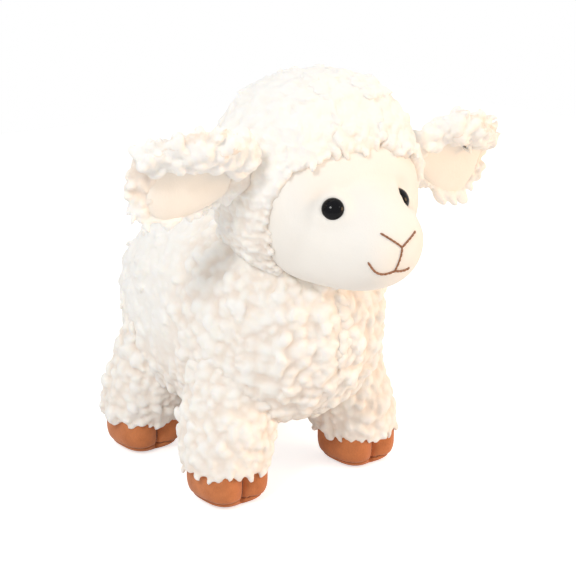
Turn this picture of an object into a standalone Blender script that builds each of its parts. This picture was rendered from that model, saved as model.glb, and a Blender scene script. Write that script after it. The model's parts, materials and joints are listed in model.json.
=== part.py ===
"""Plush sheep, standing, with a stuffed head, body and four legs, in metres, +Z up.

The nose points along -Y and the sheep's left side is +X. The origin lies on the ground,
below the middle of the whole toy. Each fabric panel is a shell round its stuffing, split
along its seams. The ears and the tail are sewn on by a pinched root, and flop about it.
"""
import math

import bmesh
import bpy
from mathutils import Matrix, Vector
from mathutils.bvhtree import BVHTree

# Clearances, cutting overruns and where rays start
GAP = 0.0003
SEAM = 0.0004
OVERRUN = 0.02
RAY_START = 0.25
WELD = 0.000004
QUARTER_TURN = math.tau / 4

# Fabrics and thread
WOOL = 0.006
VELBOA = 0.002
THREAD_RADIUS = 0.0007
CLEFT_THREAD_RADIUS = 0.00045
THREAD_CLEARANCE = 0.0005

# Body: an egg lying along Y, from the breast to the rump
BREAST_Y = -0.072
RUMP_Y = 0.095
CHEST_HALF_WIDTH = 0.0595
RUMP_HALF_WIDTH = 0.0545
CHEST_TOP = 0.155
CHEST_BOTTOM = 0.0305
RUMP_TOP = 0.145
RUMP_BOTTOM = 0.032
BODY_FULLNESS = 2.4
BELLY_HALF_WIDTH = 0.025
BELLY_HALF_LENGTH = 0.068
BELLY_SEAM_HEIGHT = 0.080

# Head: a wool hood with a face of short pile bulging out of it
HOOD_CENTRE_Y = -0.0460
HOOD_CENTRE_Z = 0.1730
HOOD_HALF_WIDTH = 0.0530
HOOD_HALF_DEPTH = 0.0385
HOOD_HALF_HEIGHT = 0.0510
HOOD_FULLNESS = 2.5
CROWN_HALF_WIDTH = 0.017
FACE_CENTRE_Y = -0.0651
FACE_CENTRE_Z = 0.1592
FACE_HALF_WIDTH = 0.0452
FACE_DEPTH = 0.0250
FACE_HALF_HEIGHT = 0.0388
FACE_FULLNESS = 2.5
FACE_TAPER_SHARE = 0.11
SNOUT_REACH = 0.0240
SNOUT_HEIGHT = 0.1405
SNOUT_SPREAD = 0.0354
SNOUT_BLUNTNESS = 3.2
SNOUT_EDGE_SOFTNESS = 1.25

# Eyes: a domed button on a ridged shank, held by a washer behind the fabric
EYE_HALF_SPACING = 0.0230
EYE_HEIGHT = 0.1652
EYE_RADIUS = 0.0061
EYE_DOME_HEIGHT = 0.0042
EYE_SEAT_DEPTH = 0.0006
EYE_EDGE_HEIGHT = 0.0007
SHANK_RADIUS = 0.0016
SHANK_LENGTH = 0.011
SHANK_RIDGE = 0.0003
SHANK_RIDGES = 2
WASHER_RADIUS = 0.0066
WASHER_THICKNESS = 0.0012

# Embroidered nose and mouth, as heights and half widths on the face
NOSE_HALF_WIDTH = 0.0105
NOSE_TOP = 0.1545
NOSE_POINT = 0.1475
MOUTH_HALF_WIDTH = 0.0165
MOUTH_CORNER = 0.1417
MOUTH_MIDDLE = 0.1357
MOUTH_DIP = 0.0018
MOUTH_DIP_END_SHARE = 0.87
MOUTH_LEFT_END_SHARE = 0.62

# Ears: cupped leaves on a pinched, ball-shaped root
EAR_ROOT_Y = -0.0575
EAR_ROOT_Z = 0.179
EAR_ROOT_RADIUS = 0.0060
EAR_ROOT_STAND_OFF = 0.0025
EAR_LENGTH = 0.062
EAR_NECK_HALF_WIDTH = 0.0045
EAR_HALF_WIDTH = 0.0260
EAR_LOWER_HALF_WIDTH = 0.0195
EAR_HALF_THICKNESS = 0.0042
EAR_WIDEST_SHARE = 0.42
EAR_LOWER_WIDEST_SHARE = 0.62
EAR_TOP_CURL = 0.014
EAR_BOTTOM_CURL = 0.007
EAR_SWEEP = math.radians(4)
EAR_TILT = math.radians(16)
EAR_LIFT_RIGHT = math.radians(9)
EAR_LIFT_LEFT = math.radians(-8)
LINING_WIDTH_SHARE = 0.84
LINING_MIDDLE_SHARE = 0.56
LINING_HALF_LENGTH_SHARE = 0.35

# Tail: two layers of wool sewn edge to edge
TAIL_ROOT_Z = 0.108
TAIL_ROOT_RADIUS = 0.0065
TAIL_STAND_OFF = 0.0035
TAIL_LENGTH = 0.0275
TAIL_RADIUS = 0.0095
TAIL_FLATNESS_SHARE = 0.72
TAIL_WIDEST_SHARE = 0.55
TAIL_DROOP = math.radians(40)
TAIL_POCKET_CLEARANCE = 0.0016

# Legs: wool sleeves, with the heights that all four share
FRONT_FOOT = (0.0448, -0.0285)
HIND_FOOT = (0.0375, 0.0630)
FRONT_HIP = (0.0300, -0.0190)
HIND_HIP = (0.0300, 0.0420)
HEM_HEIGHT = 0.0205
CALF_HEIGHT = 0.0380
HIP_HEIGHT = 0.0760
LEG_TOP = 0.0930
HEM_RADIUS = 0.0225
LEG_RADIUS = 0.0245
HIP_RADIUS = 0.0215
LEG_DOME_STEPS = 2
LEG_TWIST_SHARE = 0.23

# Hooves: one rounded form, drawn in at the front into two toes
HOOF_HALF_WIDTH = 0.0190
HOOF_HALF_LENGTH = 0.0195
HOOF_Y = -0.0018
HOOF_CENTRE_HEIGHT = 0.0145
HOOF_HALF_HEIGHT = 0.0150
HOOF_FULLNESS = 2.7
CLEFT_SHARE = 0.26
CLEFT_SPREAD = math.radians(20)
SOLE_HEIGHT = 0.0045

# Mesh fineness, in edges round and along each form
BODY_EDGES = (18, 11)
HOOD_EDGES = (18, 9)
FACE_EDGES = (22, 13)
EAR_EDGES = (14, 12)
EAR_EDGE_GATHER = 1.4
TAIL_EDGES = (12, 8)
HOOF_EDGES = (20, 8)
LEG_EDGES = 12
EYE_EDGES = 14
DOME_STEPS = 4
CAP_EDGES = 16
THREAD_STEPS = 8
CLEFT_STEPS = 4

COLOURS = {
    "wool": ((0.93, 0.87, 0.79, 1), 0.95),
    "velboa": ((0.93, 0.87, 0.78, 1), 0.85),
    "lining": ((0.90, 0.80, 0.68, 1), 0.85),
    "hoof": ((0.52, 0.22, 0.10, 1), 0.80),
    "thread": ((0.30, 0.13, 0.06, 1), 0.70),
    "eye": ((0.008, 0.008, 0.010, 1), 0.08),
    "washer": ((0.75, 0.75, 0.72, 1), 0.45),
    "fibre": ((0.90, 0.90, 0.88, 1), 0.95),
}


def clear_scene():
    """Removes whatever the file opens with."""
    for old in list(bpy.data.objects):
        bpy.data.objects.remove(old, do_unlink=True)


def new_collection(name):
    collection = bpy.data.collections.new(name)
    bpy.context.scene.collection.children.link(collection)
    return collection


def material(node_name, look):
    """A Principled material for one sub-part."""
    colour, roughness = COLOURS[look]
    made = bpy.data.materials.new(node_name)
    made.use_nodes = True
    shader = made.node_tree.nodes["Principled BSDF"]
    shader.inputs["Base Color"].default_value = colour
    shader.inputs["Roughness"].default_value = roughness
    shader.inputs["Metallic"].default_value = 0
    return made


def add_object(name, mesh, collection):
    made = bpy.data.objects.new(name, mesh)
    collection.objects.link(made)
    return made


class Workshop:
    """The two collections, and the ways in which pieces are put into them."""

    def __init__(self):
        self.parts = new_collection("plush_sheep")
        self.guides = new_collection("cutters")

    def guide(self, name, mesh):
        made = add_object(name, mesh, self.guides)
        made.hide_render = True
        made.display_type = "WIRE"
        return made

    def carved(self, mesh, steps):
        """A mesh after Boolean steps of (operation, cutter), cleaned after each."""
        for operation, cutter in steps:
            blank = self.guide("blank", mesh)
            modifier = blank.modifiers.new(operation.lower(), "BOOLEAN")
            modifier.operation = operation
            modifier.object = cutter
            modifier.solver = "EXACT"
            mesh = cleaned_mesh(evaluated_mesh(blank))
            bpy.data.objects.remove(blank, do_unlink=True)
        return mesh

    def joined(self, name, meshes):
        """The Boolean union of several closed meshes."""
        others = [self.guide(name, mesh) for mesh in meshes[1:]]
        union = self.carved(meshes[0], [("UNION", other) for other in others])
        for other in others:
            bpy.data.objects.remove(other, do_unlink=True)
        return union

    def piece(self, name, mesh, look, steps=(), pivot=None):
        """A sub-part made from a mesh by Boolean steps of (operation, cutter)."""
        made = add_object(name, self.carved(mesh, steps).copy(), self.parts)
        made.data.shade_smooth()
        made.data.set_sharp_from_angle(angle=math.radians(50))
        made.data.materials.append(material(name, look))
        if pivot is not None:
            made.data.transform(Matrix.Translation(-pivot))
            made.location = pivot
        return made


def evaluated_mesh(target):
    """The mesh of an object with its modifiers worked in."""
    bpy.context.view_layer.update()
    graph = bpy.context.evaluated_depsgraph_get()
    return bpy.data.meshes.new_from_object(target.evaluated_get(graph))


def cleaned_mesh(mesh):
    """A copy without the slivers and doubled corners that a Boolean can leave."""
    bm = bmesh.new()
    bm.from_mesh(mesh)
    bmesh.ops.remove_doubles(bm, verts=bm.verts, dist=WELD)
    bmesh.ops.dissolve_degenerate(bm, edges=bm.edges, dist=WELD)
    return kept_mesh(bm, mesh.name)


def mesh_from(bm, name):
    """Splits a closed form into triangles, turns them outwards and keeps the mesh."""
    bmesh.ops.triangulate(bm, faces=bm.faces)
    bm.normal_update()
    bmesh.ops.recalc_face_normals(bm, faces=bm.faces)
    return kept_mesh(bm, name)


def kept_mesh(bm, name):
    mesh = bpy.data.meshes.new(name)
    bm.to_mesh(mesh)
    bm.free()
    return mesh


def unit_egg(edges, fullness, twist_share=0):
    """A unit ball, fuller than round where fullness is over 2.

    The twist, as a share of one edge, keeps two eggs that cross from meeting edge on edge.
    """
    around, along = edges
    bm = bmesh.new()
    bmesh.ops.create_uvsphere(bm, u_segments=around, v_segments=along, radius=1)
    bm.transform(Matrix.Rotation(math.tau / around * twist_share, 4, "Z"))
    for vert in bm.verts:
        total = sum(abs(part) ** fullness for part in vert.co)
        vert.co *= total ** (-1 / fullness)
    return bm


def egg_mesh(name, centre, radii, edges, fullness, twist_share=0):
    bm = unit_egg(edges, fullness, twist_share)
    for vert in bm.verts:
        vert.co = Vector(centre) + Vector([part * radius for part, radius in zip(vert.co, radii)])
    return mesh_from(bm, name)


def offset_mesh(mesh, distance):
    """A copy whose skin is moved along its own normals."""
    bm = bmesh.new()
    bm.from_mesh(mesh)
    bm.normal_update()
    moved = [vert.co + vert.normal * distance for vert in bm.verts]
    for vert, place in zip(bm.verts, moved):
        vert.co = place
    return mesh_from(bm, mesh.name + "_offset")


def box_mesh(name, low, high):
    bm = bmesh.new()
    bmesh.ops.create_cube(bm, size=1)
    centre = (Vector(low) + Vector(high)) / 2
    size = Vector(high) - Vector(low)
    for vert in bm.verts:
        vert.co = centre + Vector([part * length for part, length in zip(vert.co, size)])
    return mesh_from(bm, name)


def cylinder_mesh(name, radius, start, direction, length, edges=CAP_EDGES):
    """A round bar from a start point along a direction."""
    bm = bmesh.new()
    bmesh.ops.create_cone(bm, cap_ends=True, segments=edges, radius1=radius, radius2=radius, depth=length)
    turn = direction.to_track_quat("Z", "Y").to_matrix().to_4x4()
    place = Matrix.Translation(start + direction * (length / 2)) @ turn
    bm.transform(place)
    return mesh_from(bm, name)


def turned_mesh(shop, name, profile, edges):
    """A closed turned form from (radius, height) points that start and end on the axis."""
    mesh = bpy.data.meshes.new(name)
    mesh.from_pydata([(radius, 0, height) for radius, height in profile],
                     [(index, index + 1) for index in range(len(profile) - 1)], [])
    blank = shop.guide(name, mesh)
    screw = blank.modifiers.new("turn", "SCREW")
    screw.axis = "Z"
    screw.steps = edges
    screw.render_steps = edges
    screw.use_merge_vertices = True
    screw.merge_threshold = WELD
    screw.use_normal_calculate = True
    solid = evaluated_mesh(blank)
    bpy.data.objects.remove(blank, do_unlink=True)
    bm = bmesh.new()
    bm.from_mesh(solid)
    return mesh_from(bm, name)


def thread_mesh(shop, name, points, radius):
    """A round thread through points, with closed ends."""
    data = bpy.data.curves.new(name, "CURVE")
    data.dimensions = "3D"
    data.bevel_depth = radius
    data.bevel_resolution = 2
    data.use_fill_caps = True
    spline = data.splines.new("POLY")
    spline.points.add(len(points) - 1)
    for target, point in zip(spline.points, points):
        target.co = (*point, 1)
    blank = shop.guide(name, data)
    tube = evaluated_mesh(blank)
    bpy.data.objects.remove(blank, do_unlink=True)
    bm = bmesh.new()
    bm.from_mesh(tube)
    bmesh.ops.remove_doubles(bm, verts=bm.verts, dist=WELD)
    return mesh_from(bm, name)


def blend(start, end, share):
    return start + (end - start) * share


def ease(share):
    """A share from 0 to 1 that starts and stops softly."""
    share = min(max(share, 0), 1)
    return share * share * (3 - 2 * share)


def body_mesh():
    """The egg of the body, whose width, top and underside run from chest to rump."""
    bm = unit_egg(BODY_EDGES, BODY_FULLNESS, 0.5)
    for vert in bm.verts:
        share = (1 + vert.co.y) / 2
        half_width = blend(CHEST_HALF_WIDTH, RUMP_HALF_WIDTH, share)
        top = blend(CHEST_TOP, RUMP_TOP, share)
        bottom = blend(CHEST_BOTTOM, RUMP_BOTTOM, share)
        height = (top + bottom) / 2 + vert.co.z * (top - bottom) / 2
        vert.co = (vert.co.x * half_width, blend(BREAST_Y, RUMP_Y, share), height)
    return mesh_from(bm, "body_form")


def hood_mesh():
    centre = (0, HOOD_CENTRE_Y, HOOD_CENTRE_Z)
    radii = (HOOD_HALF_WIDTH, HOOD_HALF_DEPTH, HOOD_HALF_HEIGHT)
    return egg_mesh("hood_form", centre, radii, HOOD_EDGES, HOOD_FULLNESS)


def face_mesh():
    """The face: a shallow egg, broader at the brow than at the chin, that swells into a blunt snout."""
    bm = unit_egg(FACE_EDGES, FACE_FULLNESS, 0.5)
    for vert in bm.verts:
        across = vert.co.x * FACE_HALF_WIDTH * (1 + FACE_TAPER_SHARE * vert.co.z)
        height = FACE_CENTRE_Z + vert.co.z * FACE_HALF_HEIGHT
        away = Vector((across, height - SNOUT_HEIGHT)).length / SNOUT_SPREAD
        bulge = max(1 - away ** SNOUT_BLUNTNESS, 0) ** SNOUT_EDGE_SOFTNESS
        swell = SNOUT_REACH * bulge * ease(-vert.co.y * 2)
        vert.co = (across, FACE_CENTRE_Y + vert.co.y * FACE_DEPTH - swell, height)
    return mesh_from(bm, "face_form")


def leg_mesh(shop, foot, hip, side):
    """A sleeve's outer form: a domed hip, a full calf and a drawn-in hem, leaning inwards."""
    profile = []
    for step in range(LEG_DOME_STEPS + 1):
        turn = QUARTER_TURN * step / LEG_DOME_STEPS
        rise = (LEG_TOP - HIP_HEIGHT) * math.cos(turn)
        profile.append((HIP_RADIUS * math.sin(turn), HIP_HEIGHT + rise))
    profile += [(LEG_RADIUS, CALF_HEIGHT), (HEM_RADIUS, HEM_HEIGHT), (0, HEM_HEIGHT)]
    mesh = turned_mesh(shop, "leg_form", profile, LEG_EDGES)
    mesh.transform(Matrix.Rotation(math.tau / LEG_EDGES * LEG_TWIST_SHARE, 4, "Z"))
    for vert in mesh.vertices:
        share = (vert.co.z - HEM_HEIGHT) / (LEG_TOP - HEM_HEIGHT)
        vert.co.x += side * blend(foot[0], hip[0], share)
        vert.co.y += blend(foot[1], hip[1], share)
    return mesh


def hoof_mesh():
    """A hoof whose cleft runs up its front, with the foot's middle at x = y = 0."""
    bm = unit_egg(HOOF_EDGES, HOOF_FULLNESS)
    for vert in bm.verts:
        turn = math.atan2(vert.co.x, -vert.co.y)
        reach = 1 - CLEFT_SHARE * math.exp(-(turn / CLEFT_SPREAD) ** 2)
        vert.co = (vert.co.x * reach * HOOF_HALF_WIDTH, HOOF_Y + vert.co.y * reach * HOOF_HALF_LENGTH,
                   HOOF_CENTRE_HEIGHT + vert.co.z * HOOF_HALF_HEIGHT)
    return mesh_from(bm, "hoof_form")


def moved_mesh(mesh, offset):
    moved = mesh.copy()
    moved.transform(Matrix.Translation(offset))
    return moved


def ear_closing(along, widest):
    """The share of its width that the ear keeps beyond its widest place, to none at the tip."""
    return math.sqrt(1 - (max(along - widest, 0) / (EAR_LENGTH - widest)) ** 2)


def ear_section(along, upper):
    """The ear's width above or below its middle line and half its thickness, at a distance from the hinge."""
    ball = math.sqrt(max(EAR_ROOT_RADIUS ** 2 - along ** 2, 0))
    if along < 0:
        return ball, ball
    widest = EAR_LENGTH * (EAR_WIDEST_SHARE if upper else EAR_LOWER_WIDEST_SHARE)
    reach = EAR_HALF_WIDTH if upper else EAR_LOWER_HALF_WIDTH
    leaf = blend(EAR_NECK_HALF_WIDTH, reach, ease(along / widest)) * ear_closing(along, widest)
    thick = EAR_HALF_THICKNESS * ear_closing(along, EAR_LENGTH * EAR_WIDEST_SHARE)
    return max(leaf, ball), max(thick, ball)


def ear_curl(across):
    """How far forward the ear's sheet bends, at a distance above its middle line."""
    curl = EAR_TOP_CURL if across > 0 else EAR_BOTTOM_CURL
    return curl * (across / EAR_HALF_WIDTH) ** 2


def ear_outer_mesh():
    """The ear in its own frame: X from the hinge to the tip, Z up the leaf, -Y forward."""
    bm = unit_egg(EAR_EDGES, 2)
    for vert in bm.verts:
        share = min((1 + vert.co.z) / 2, 1) ** EAR_EDGE_GATHER
        along = blend(-EAR_ROOT_RADIUS, EAR_LENGTH, share)
        turn = math.atan2(vert.co.y, vert.co.x)
        half_width, half_thickness = ear_section(along, math.cos(turn) > 0)
        across = half_width * math.cos(turn)
        vert.co = (along, -ear_curl(across) - half_thickness * math.sin(turn), across)
    return mesh_from(bm, "ear_form")


def ear_lining_mesh():
    """The lining: a thin leaf lying in the front of the ear."""
    bm = unit_egg(EAR_EDGES, 2, 0.5)
    for vert in bm.verts:
        along = EAR_LENGTH * (LINING_MIDDLE_SHARE + LINING_HALF_LENGTH_SHARE * vert.co.z)
        turn = math.atan2(vert.co.y, vert.co.x)
        half_width, half_thickness = ear_section(along, math.cos(turn) > 0)
        close = math.sqrt(max(1 - vert.co.z ** 2, 0))
        share = LINING_WIDTH_SHARE * math.sqrt(close) * math.cos(turn)
        front = half_thickness * math.sqrt(1 - share ** 2)
        sheet = VELBOA / 2 * math.sqrt(close) * math.sin(turn)
        across = half_width * share
        vert.co = (along, -ear_curl(across) - front - sheet, across)
    return mesh_from(bm, "lining_form")


def tail_mesh():
    """The tail in its own frame: X from the hinge to the tip, Z through its thickness."""
    bm = unit_egg(TAIL_EDGES, 2)
    for vert in bm.verts:
        along = blend(-TAIL_ROOT_RADIUS, TAIL_LENGTH, (1 + vert.co.z) / 2)
        if along < 0:
            radius = math.sqrt(max(TAIL_ROOT_RADIUS ** 2 - along ** 2, 0))
            flat = 1
        else:
            share = along / TAIL_LENGTH
            spread = ease(share / TAIL_WIDEST_SHARE)
            radius = blend(TAIL_ROOT_RADIUS, TAIL_RADIUS, spread) * math.sqrt(max(1 - share ** 4, 0))
            flat = blend(1, TAIL_FLATNESS_SHARE, spread)
        turn = math.atan2(vert.co.y, vert.co.x)
        vert.co = (along, radius * math.cos(turn), radius * flat * math.sin(turn))
    return mesh_from(bm, "tail_form")


def surface_finder(mesh):
    """A test that gives the point and normal of a mesh met by a ray."""
    bm = bmesh.new()
    bm.from_mesh(mesh)
    tree = BVHTree.FromBMesh(bm)
    bm.free()
    return tree


def front_point(tree, across, height):
    """Where the front of a form lies at a place seen from in front, and its normal."""
    place, normal, _, _ = tree.ray_cast(Vector((across, -RAY_START, height)), Vector((0, 1, 0)))
    return place, normal


def build_body(shop, forms):
    """The stuffing of the body, its two side panels and the belly gusset."""
    core_clear = shop.guide("body_core_clear", offset_mesh(forms["body_core"].data, GAP))
    spine_seam = shop.guide("spine_seam", box_mesh(
        "spine_seam", (-SEAM / 2, BREAST_Y - OVERRUN, 0), (SEAM / 2, RUMP_Y + OVERRUN, CHEST_TOP + OVERRUN)))
    gussets = {}
    for name, grow in (("belly_inside", 0), ("belly_outside", SEAM)):
        radii = (BELLY_HALF_WIDTH + grow, BELLY_HALF_LENGTH + grow, BELLY_SEAM_HEIGHT + grow)
        centre = (0, (BREAST_Y + RUMP_Y) / 2, 0)
        gussets[name] = shop.guide(name, egg_mesh(name, centre, radii, BODY_EDGES, 2))
    openings = [("DIFFERENCE", core_clear), ("DIFFERENCE", forms["head_core_clear"])]
    openings += [("DIFFERENCE", leg["core_clear"]) for leg in forms["legs"].values()]
    body = forms["body"].data
    shop.piece("body_stuffing", forms["body_core"].data, "fibre")
    shop.piece("belly_panel", body, "wool", openings + [("INTERSECT", gussets["belly_inside"])])
    for name, side in (("left", 1), ("right", -1)):
        half = shop.guide("body_half_" + name, box_mesh(
            "body_half", (min(0, side * (CHEST_HALF_WIDTH + OVERRUN)), BREAST_Y - OVERRUN, 0),
            (max(0, side * (CHEST_HALF_WIDTH + OVERRUN)), RUMP_Y + OVERRUN, CHEST_TOP + OVERRUN)))
        steps = openings + [("DIFFERENCE", gussets["belly_outside"]), ("DIFFERENCE", spine_seam)]
        steps += [("DIFFERENCE", pocket) for pocket in forms["tail_pockets"]]
        shop.piece("body_panel_" + name, body, "wool", steps + [("INTERSECT", half)])


def build_head(shop, forms):
    """The head's stuffing, the hood in three panels and the face panel."""
    body_clear = forms["body_clear"]
    gusset = {}
    for name, grow in (("crown_inside", 0), ("crown_outside", SEAM)):
        reach = HOOD_HALF_HEIGHT + OVERRUN
        radii = (CROWN_HALF_WIDTH + grow, reach + grow, reach + grow)
        centre = (0, HOOD_CENTRE_Y, HOOD_CENTRE_Z)
        gusset[name] = shop.guide(name, egg_mesh(name, centre, radii, HOOD_EDGES, 2))
    hood_core_clear = shop.guide("hood_core_clear", offset_mesh(forms["hood"].data, GAP - WOOL))
    face_core_clear = shop.guide("face_core_clear", offset_mesh(forms["face"].data, GAP - VELBOA))
    face_clear = shop.guide("face_clear", offset_mesh(forms["face"].data, GAP))
    trims = [("DIFFERENCE", hood_core_clear), ("DIFFERENCE", face_clear), ("DIFFERENCE", body_clear)]
    trims += [("DIFFERENCE", pocket) for pocket in forms["ear_pockets"]]
    hood = forms["hood"].data
    shop.piece("hood_crown", hood, "wool", trims + [("INTERSECT", gusset["crown_inside"])])
    reach = HOOD_HALF_WIDTH + OVERRUN
    for name, side in (("left", 1), ("right", -1)):
        low = (min(0, side * reach), HOOD_CENTRE_Y - reach, HOOD_CENTRE_Z - reach)
        high = (max(0, side * reach), HOOD_CENTRE_Y + reach, HOOD_CENTRE_Z + reach)
        half = shop.guide("hood_half_" + name, box_mesh("hood_half", low, high))
        shop.piece("hood_" + name, hood, "wool",
                   trims + [("DIFFERENCE", gusset["crown_outside"]), ("INTERSECT", half)])
    bores = [("DIFFERENCE", cutter) for cutter in forms["eye_cutters"]]
    shop.piece("face_panel", forms["face"].data, "velboa",
               [("DIFFERENCE", face_core_clear), ("DIFFERENCE", hood_core_clear),
                ("DIFFERENCE", body_clear)] + bores)
    shop.piece("head_stuffing", forms["head_core"].data, "fibre",
               [("DIFFERENCE", forms["body_core_clear"])] + bores
               + [("DIFFERENCE", pocket) for pocket in forms["ear_pockets"]])


def eye_frames(forms):
    """The seat of each eye on the face: its place and the way that it looks."""
    tree = surface_finder(forms["face"].data)
    frames = {}
    for name, side in (("left", 1), ("right", -1)):
        place, normal = front_point(tree, side * EYE_HALF_SPACING, EYE_HEIGHT)
        frames[name] = (place - normal * EYE_SEAT_DEPTH, normal)
    return frames


def eye_cutters(shop, frames):
    """The seat, shank bore and washer pocket that each eye needs in the face and stuffing."""
    cutters = []
    for name, (seat, normal) in frames.items():
        washer_front = seat - normal * washer_depth()
        holes = (
            (EYE_RADIUS + GAP, seat, normal, EYE_DOME_HEIGHT),
            (SHANK_RADIUS + SHANK_RIDGE + GAP, seat + normal * GAP, -normal, SHANK_LENGTH + GAP * 2),
            (WASHER_RADIUS + GAP, washer_front + normal * GAP, -normal, WASHER_THICKNESS + GAP * 2),
        )
        for index, (radius, start, direction, length) in enumerate(holes):
            label = "eye_cutter_%s_%d" % (name, index)
            cutters.append(shop.guide(label, cylinder_mesh(label, radius, start, direction, length)))
    return cutters


def washer_depth():
    """How far behind the eye's seat the washer's front lies."""
    return VELBOA - EYE_SEAT_DEPTH + GAP * 2


def build_eyes(shop, frames):
    for name, (seat, normal) in frames.items():
        place = Matrix.Translation(seat + normal * GAP) @ normal.to_track_quat("Z", "Y").to_matrix().to_4x4()
        dome = [(0, EYE_DOME_HEIGHT)]
        for step in range(1, DOME_STEPS + 1):
            turn = QUARTER_TURN * step / DOME_STEPS
            height = EYE_EDGE_HEIGHT + (EYE_DOME_HEIGHT - EYE_EDGE_HEIGHT) * math.cos(turn)
            dome.append((EYE_RADIUS * math.sin(turn), height))
        shank = [(EYE_RADIUS, 0), (SHANK_RADIUS, 0)]
        pitch = SHANK_LENGTH / (SHANK_RIDGES + 2)
        for ridge in range(SHANK_RIDGES):
            middle = -pitch * (ridge + 2)
            shank += [(SHANK_RADIUS, middle + pitch / 4), (SHANK_RADIUS + SHANK_RIDGE, middle),
                      (SHANK_RADIUS, middle - pitch / 4)]
        shank += [(SHANK_RADIUS, -SHANK_LENGTH), (0, -SHANK_LENGTH)]
        eye = turned_mesh(shop, "eye_form", dome + shank, EYE_EDGES)
        eye.transform(place)
        shop.piece("eye_" + name, eye, "eye")
        washer_top = seat - normal * washer_depth()
        disc = cylinder_mesh("washer_form", WASHER_RADIUS, washer_top, -normal, WASHER_THICKNESS)
        bore = shop.guide("washer_bore_" + name, cylinder_mesh(
            "washer_bore", SHANK_RADIUS + SHANK_RIDGE + GAP, seat, -normal, OVERRUN))
        shop.piece("eye_washer_" + name, disc, "washer", [("DIFFERENCE", bore)])


def stitch_points(tree, path, radius):
    """Thread centres that lie on a form, from (across, height) places seen from in front."""
    points = []
    for across, height in path:
        place, normal = front_point(tree, across, height)
        points.append(place + normal * (radius + THREAD_CLEARANCE))
    return points


def build_stitches(shop, forms):
    """The embroidered nose, the line below it and the mouth, whose left half ends sooner."""
    tree = surface_finder(forms["face"].data)
    steps = THREAD_STEPS
    nose = []
    for index in range(-steps, steps + 1):
        share = abs(index) / steps
        nose.append((NOSE_HALF_WIDTH * index / steps, blend(NOSE_POINT, NOSE_TOP, share)))
    clear = THREAD_RADIUS * 2 + GAP * 2
    line = [(0, blend(NOSE_POINT - clear, MOUTH_MIDDLE + clear, index / steps)) for index in range(steps + 1)]
    mouth = []
    for index in range(steps * 2 + 1):
        place_share = blend(-1, MOUTH_LEFT_END_SHARE, index / (steps * 2))
        share = abs(place_share)
        dip = MOUTH_DIP * math.sin(math.pi * min(share / MOUTH_DIP_END_SHARE, 1))
        height = blend(MOUTH_MIDDLE, MOUTH_CORNER, share ** 3) - dip
        mouth.append((MOUTH_HALF_WIDTH * place_share, height))
    for name, path in (("nose_stitch", nose), ("philtrum_stitch", line), ("mouth_stitch", mouth)):
        points = stitch_points(tree, path, THREAD_RADIUS)
        shop.piece(name, thread_mesh(shop, name, points, THREAD_RADIUS), "thread")


def ear_frames(forms):
    """Each ear's hinge point, and the matrix from the ear's own frame to the world."""
    tree = surface_finder(forms["hood"].data)
    frames = {}
    for name, side, lift in (("left", 1, EAR_LIFT_LEFT), ("right", -1, EAR_LIFT_RIGHT)):
        start = Vector((side * RAY_START, EAR_ROOT_Y, EAR_ROOT_Z))
        place, _, _, _ = tree.ray_cast(start, Vector((-side, 0, 0)))
        hinge = place + Vector((side * EAR_ROOT_STAND_OFF, 0, 0))
        mirror = Matrix.Scale(side, 4, (1, 0, 0))
        turn = Matrix.Rotation(-lift, 4, "Y") @ Matrix.Rotation(EAR_SWEEP, 4, "Z")
        frames[name] = (hinge, Matrix.Translation(hinge) @ mirror @ turn @ Matrix.Rotation(EAR_TILT, 4, "X"))
    return frames


def placed_mesh(mesh, matrix):
    """A copy moved by a matrix, with its faces turned back out if the matrix mirrors."""
    placed = mesh.copy()
    placed.transform(matrix)
    if matrix.determinant() < 0:
        placed.flip_normals()
    return placed


def build_ears(shop, frames):
    outer = ear_outer_mesh()
    lining = ear_lining_mesh()
    lining_clear = offset_mesh(lining, GAP)
    for name, (hinge, matrix) in frames.items():
        cutter = shop.guide("lining_clear_" + name, placed_mesh(lining_clear, matrix))
        shop.piece("ear_outer_" + name, placed_mesh(outer, matrix), "wool",
                   [("DIFFERENCE", cutter)], pivot=hinge)
        shop.piece("ear_lining_" + name, placed_mesh(lining, matrix), "lining", pivot=hinge)


def ball_cutter(shop, name, centre, radius):
    return shop.guide(name, egg_mesh(name, centre, (radius, radius, radius), EAR_EDGES, 2))


def tail_hinge(forms):
    tree = surface_finder(forms["body"].data)
    place, _, _, _ = tree.ray_cast(Vector((0, RAY_START, TAIL_ROOT_Z)), Vector((0, -1, 0)))
    return place + Vector((0, TAIL_STAND_OFF, 0))


def build_tail(shop, hinge):
    """The tail's upper and lower layers, seamed along its edge."""
    turn = Matrix.Rotation(math.radians(90), 4, "Z") @ Matrix.Rotation(TAIL_DROOP, 4, "Y")
    matrix = Matrix.Translation(hinge) @ turn
    form = placed_mesh(tail_mesh(), matrix)
    reach = TAIL_LENGTH + OVERRUN
    for name, low, high in (("upper", SEAM / 2, reach), ("lower", -reach, -SEAM / 2)):
        half = box_mesh("tail_half", (-reach, -reach, low), (reach, reach, high))
        cutter = shop.guide("tail_half_" + name, placed_mesh(half, matrix))
        shop.piece("tail_" + name, form, "wool", [("INTERSECT", cutter)], pivot=hinge)


def leg_places():
    """Each leg's name, foot, hip and side."""
    places = {}
    for name, side in (("left", 1), ("right", -1)):
        places["front_" + name] = (FRONT_FOOT, FRONT_HIP, side)
        places["hind_" + name] = (HIND_FOOT, HIND_HIP, side)
    return places


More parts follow.
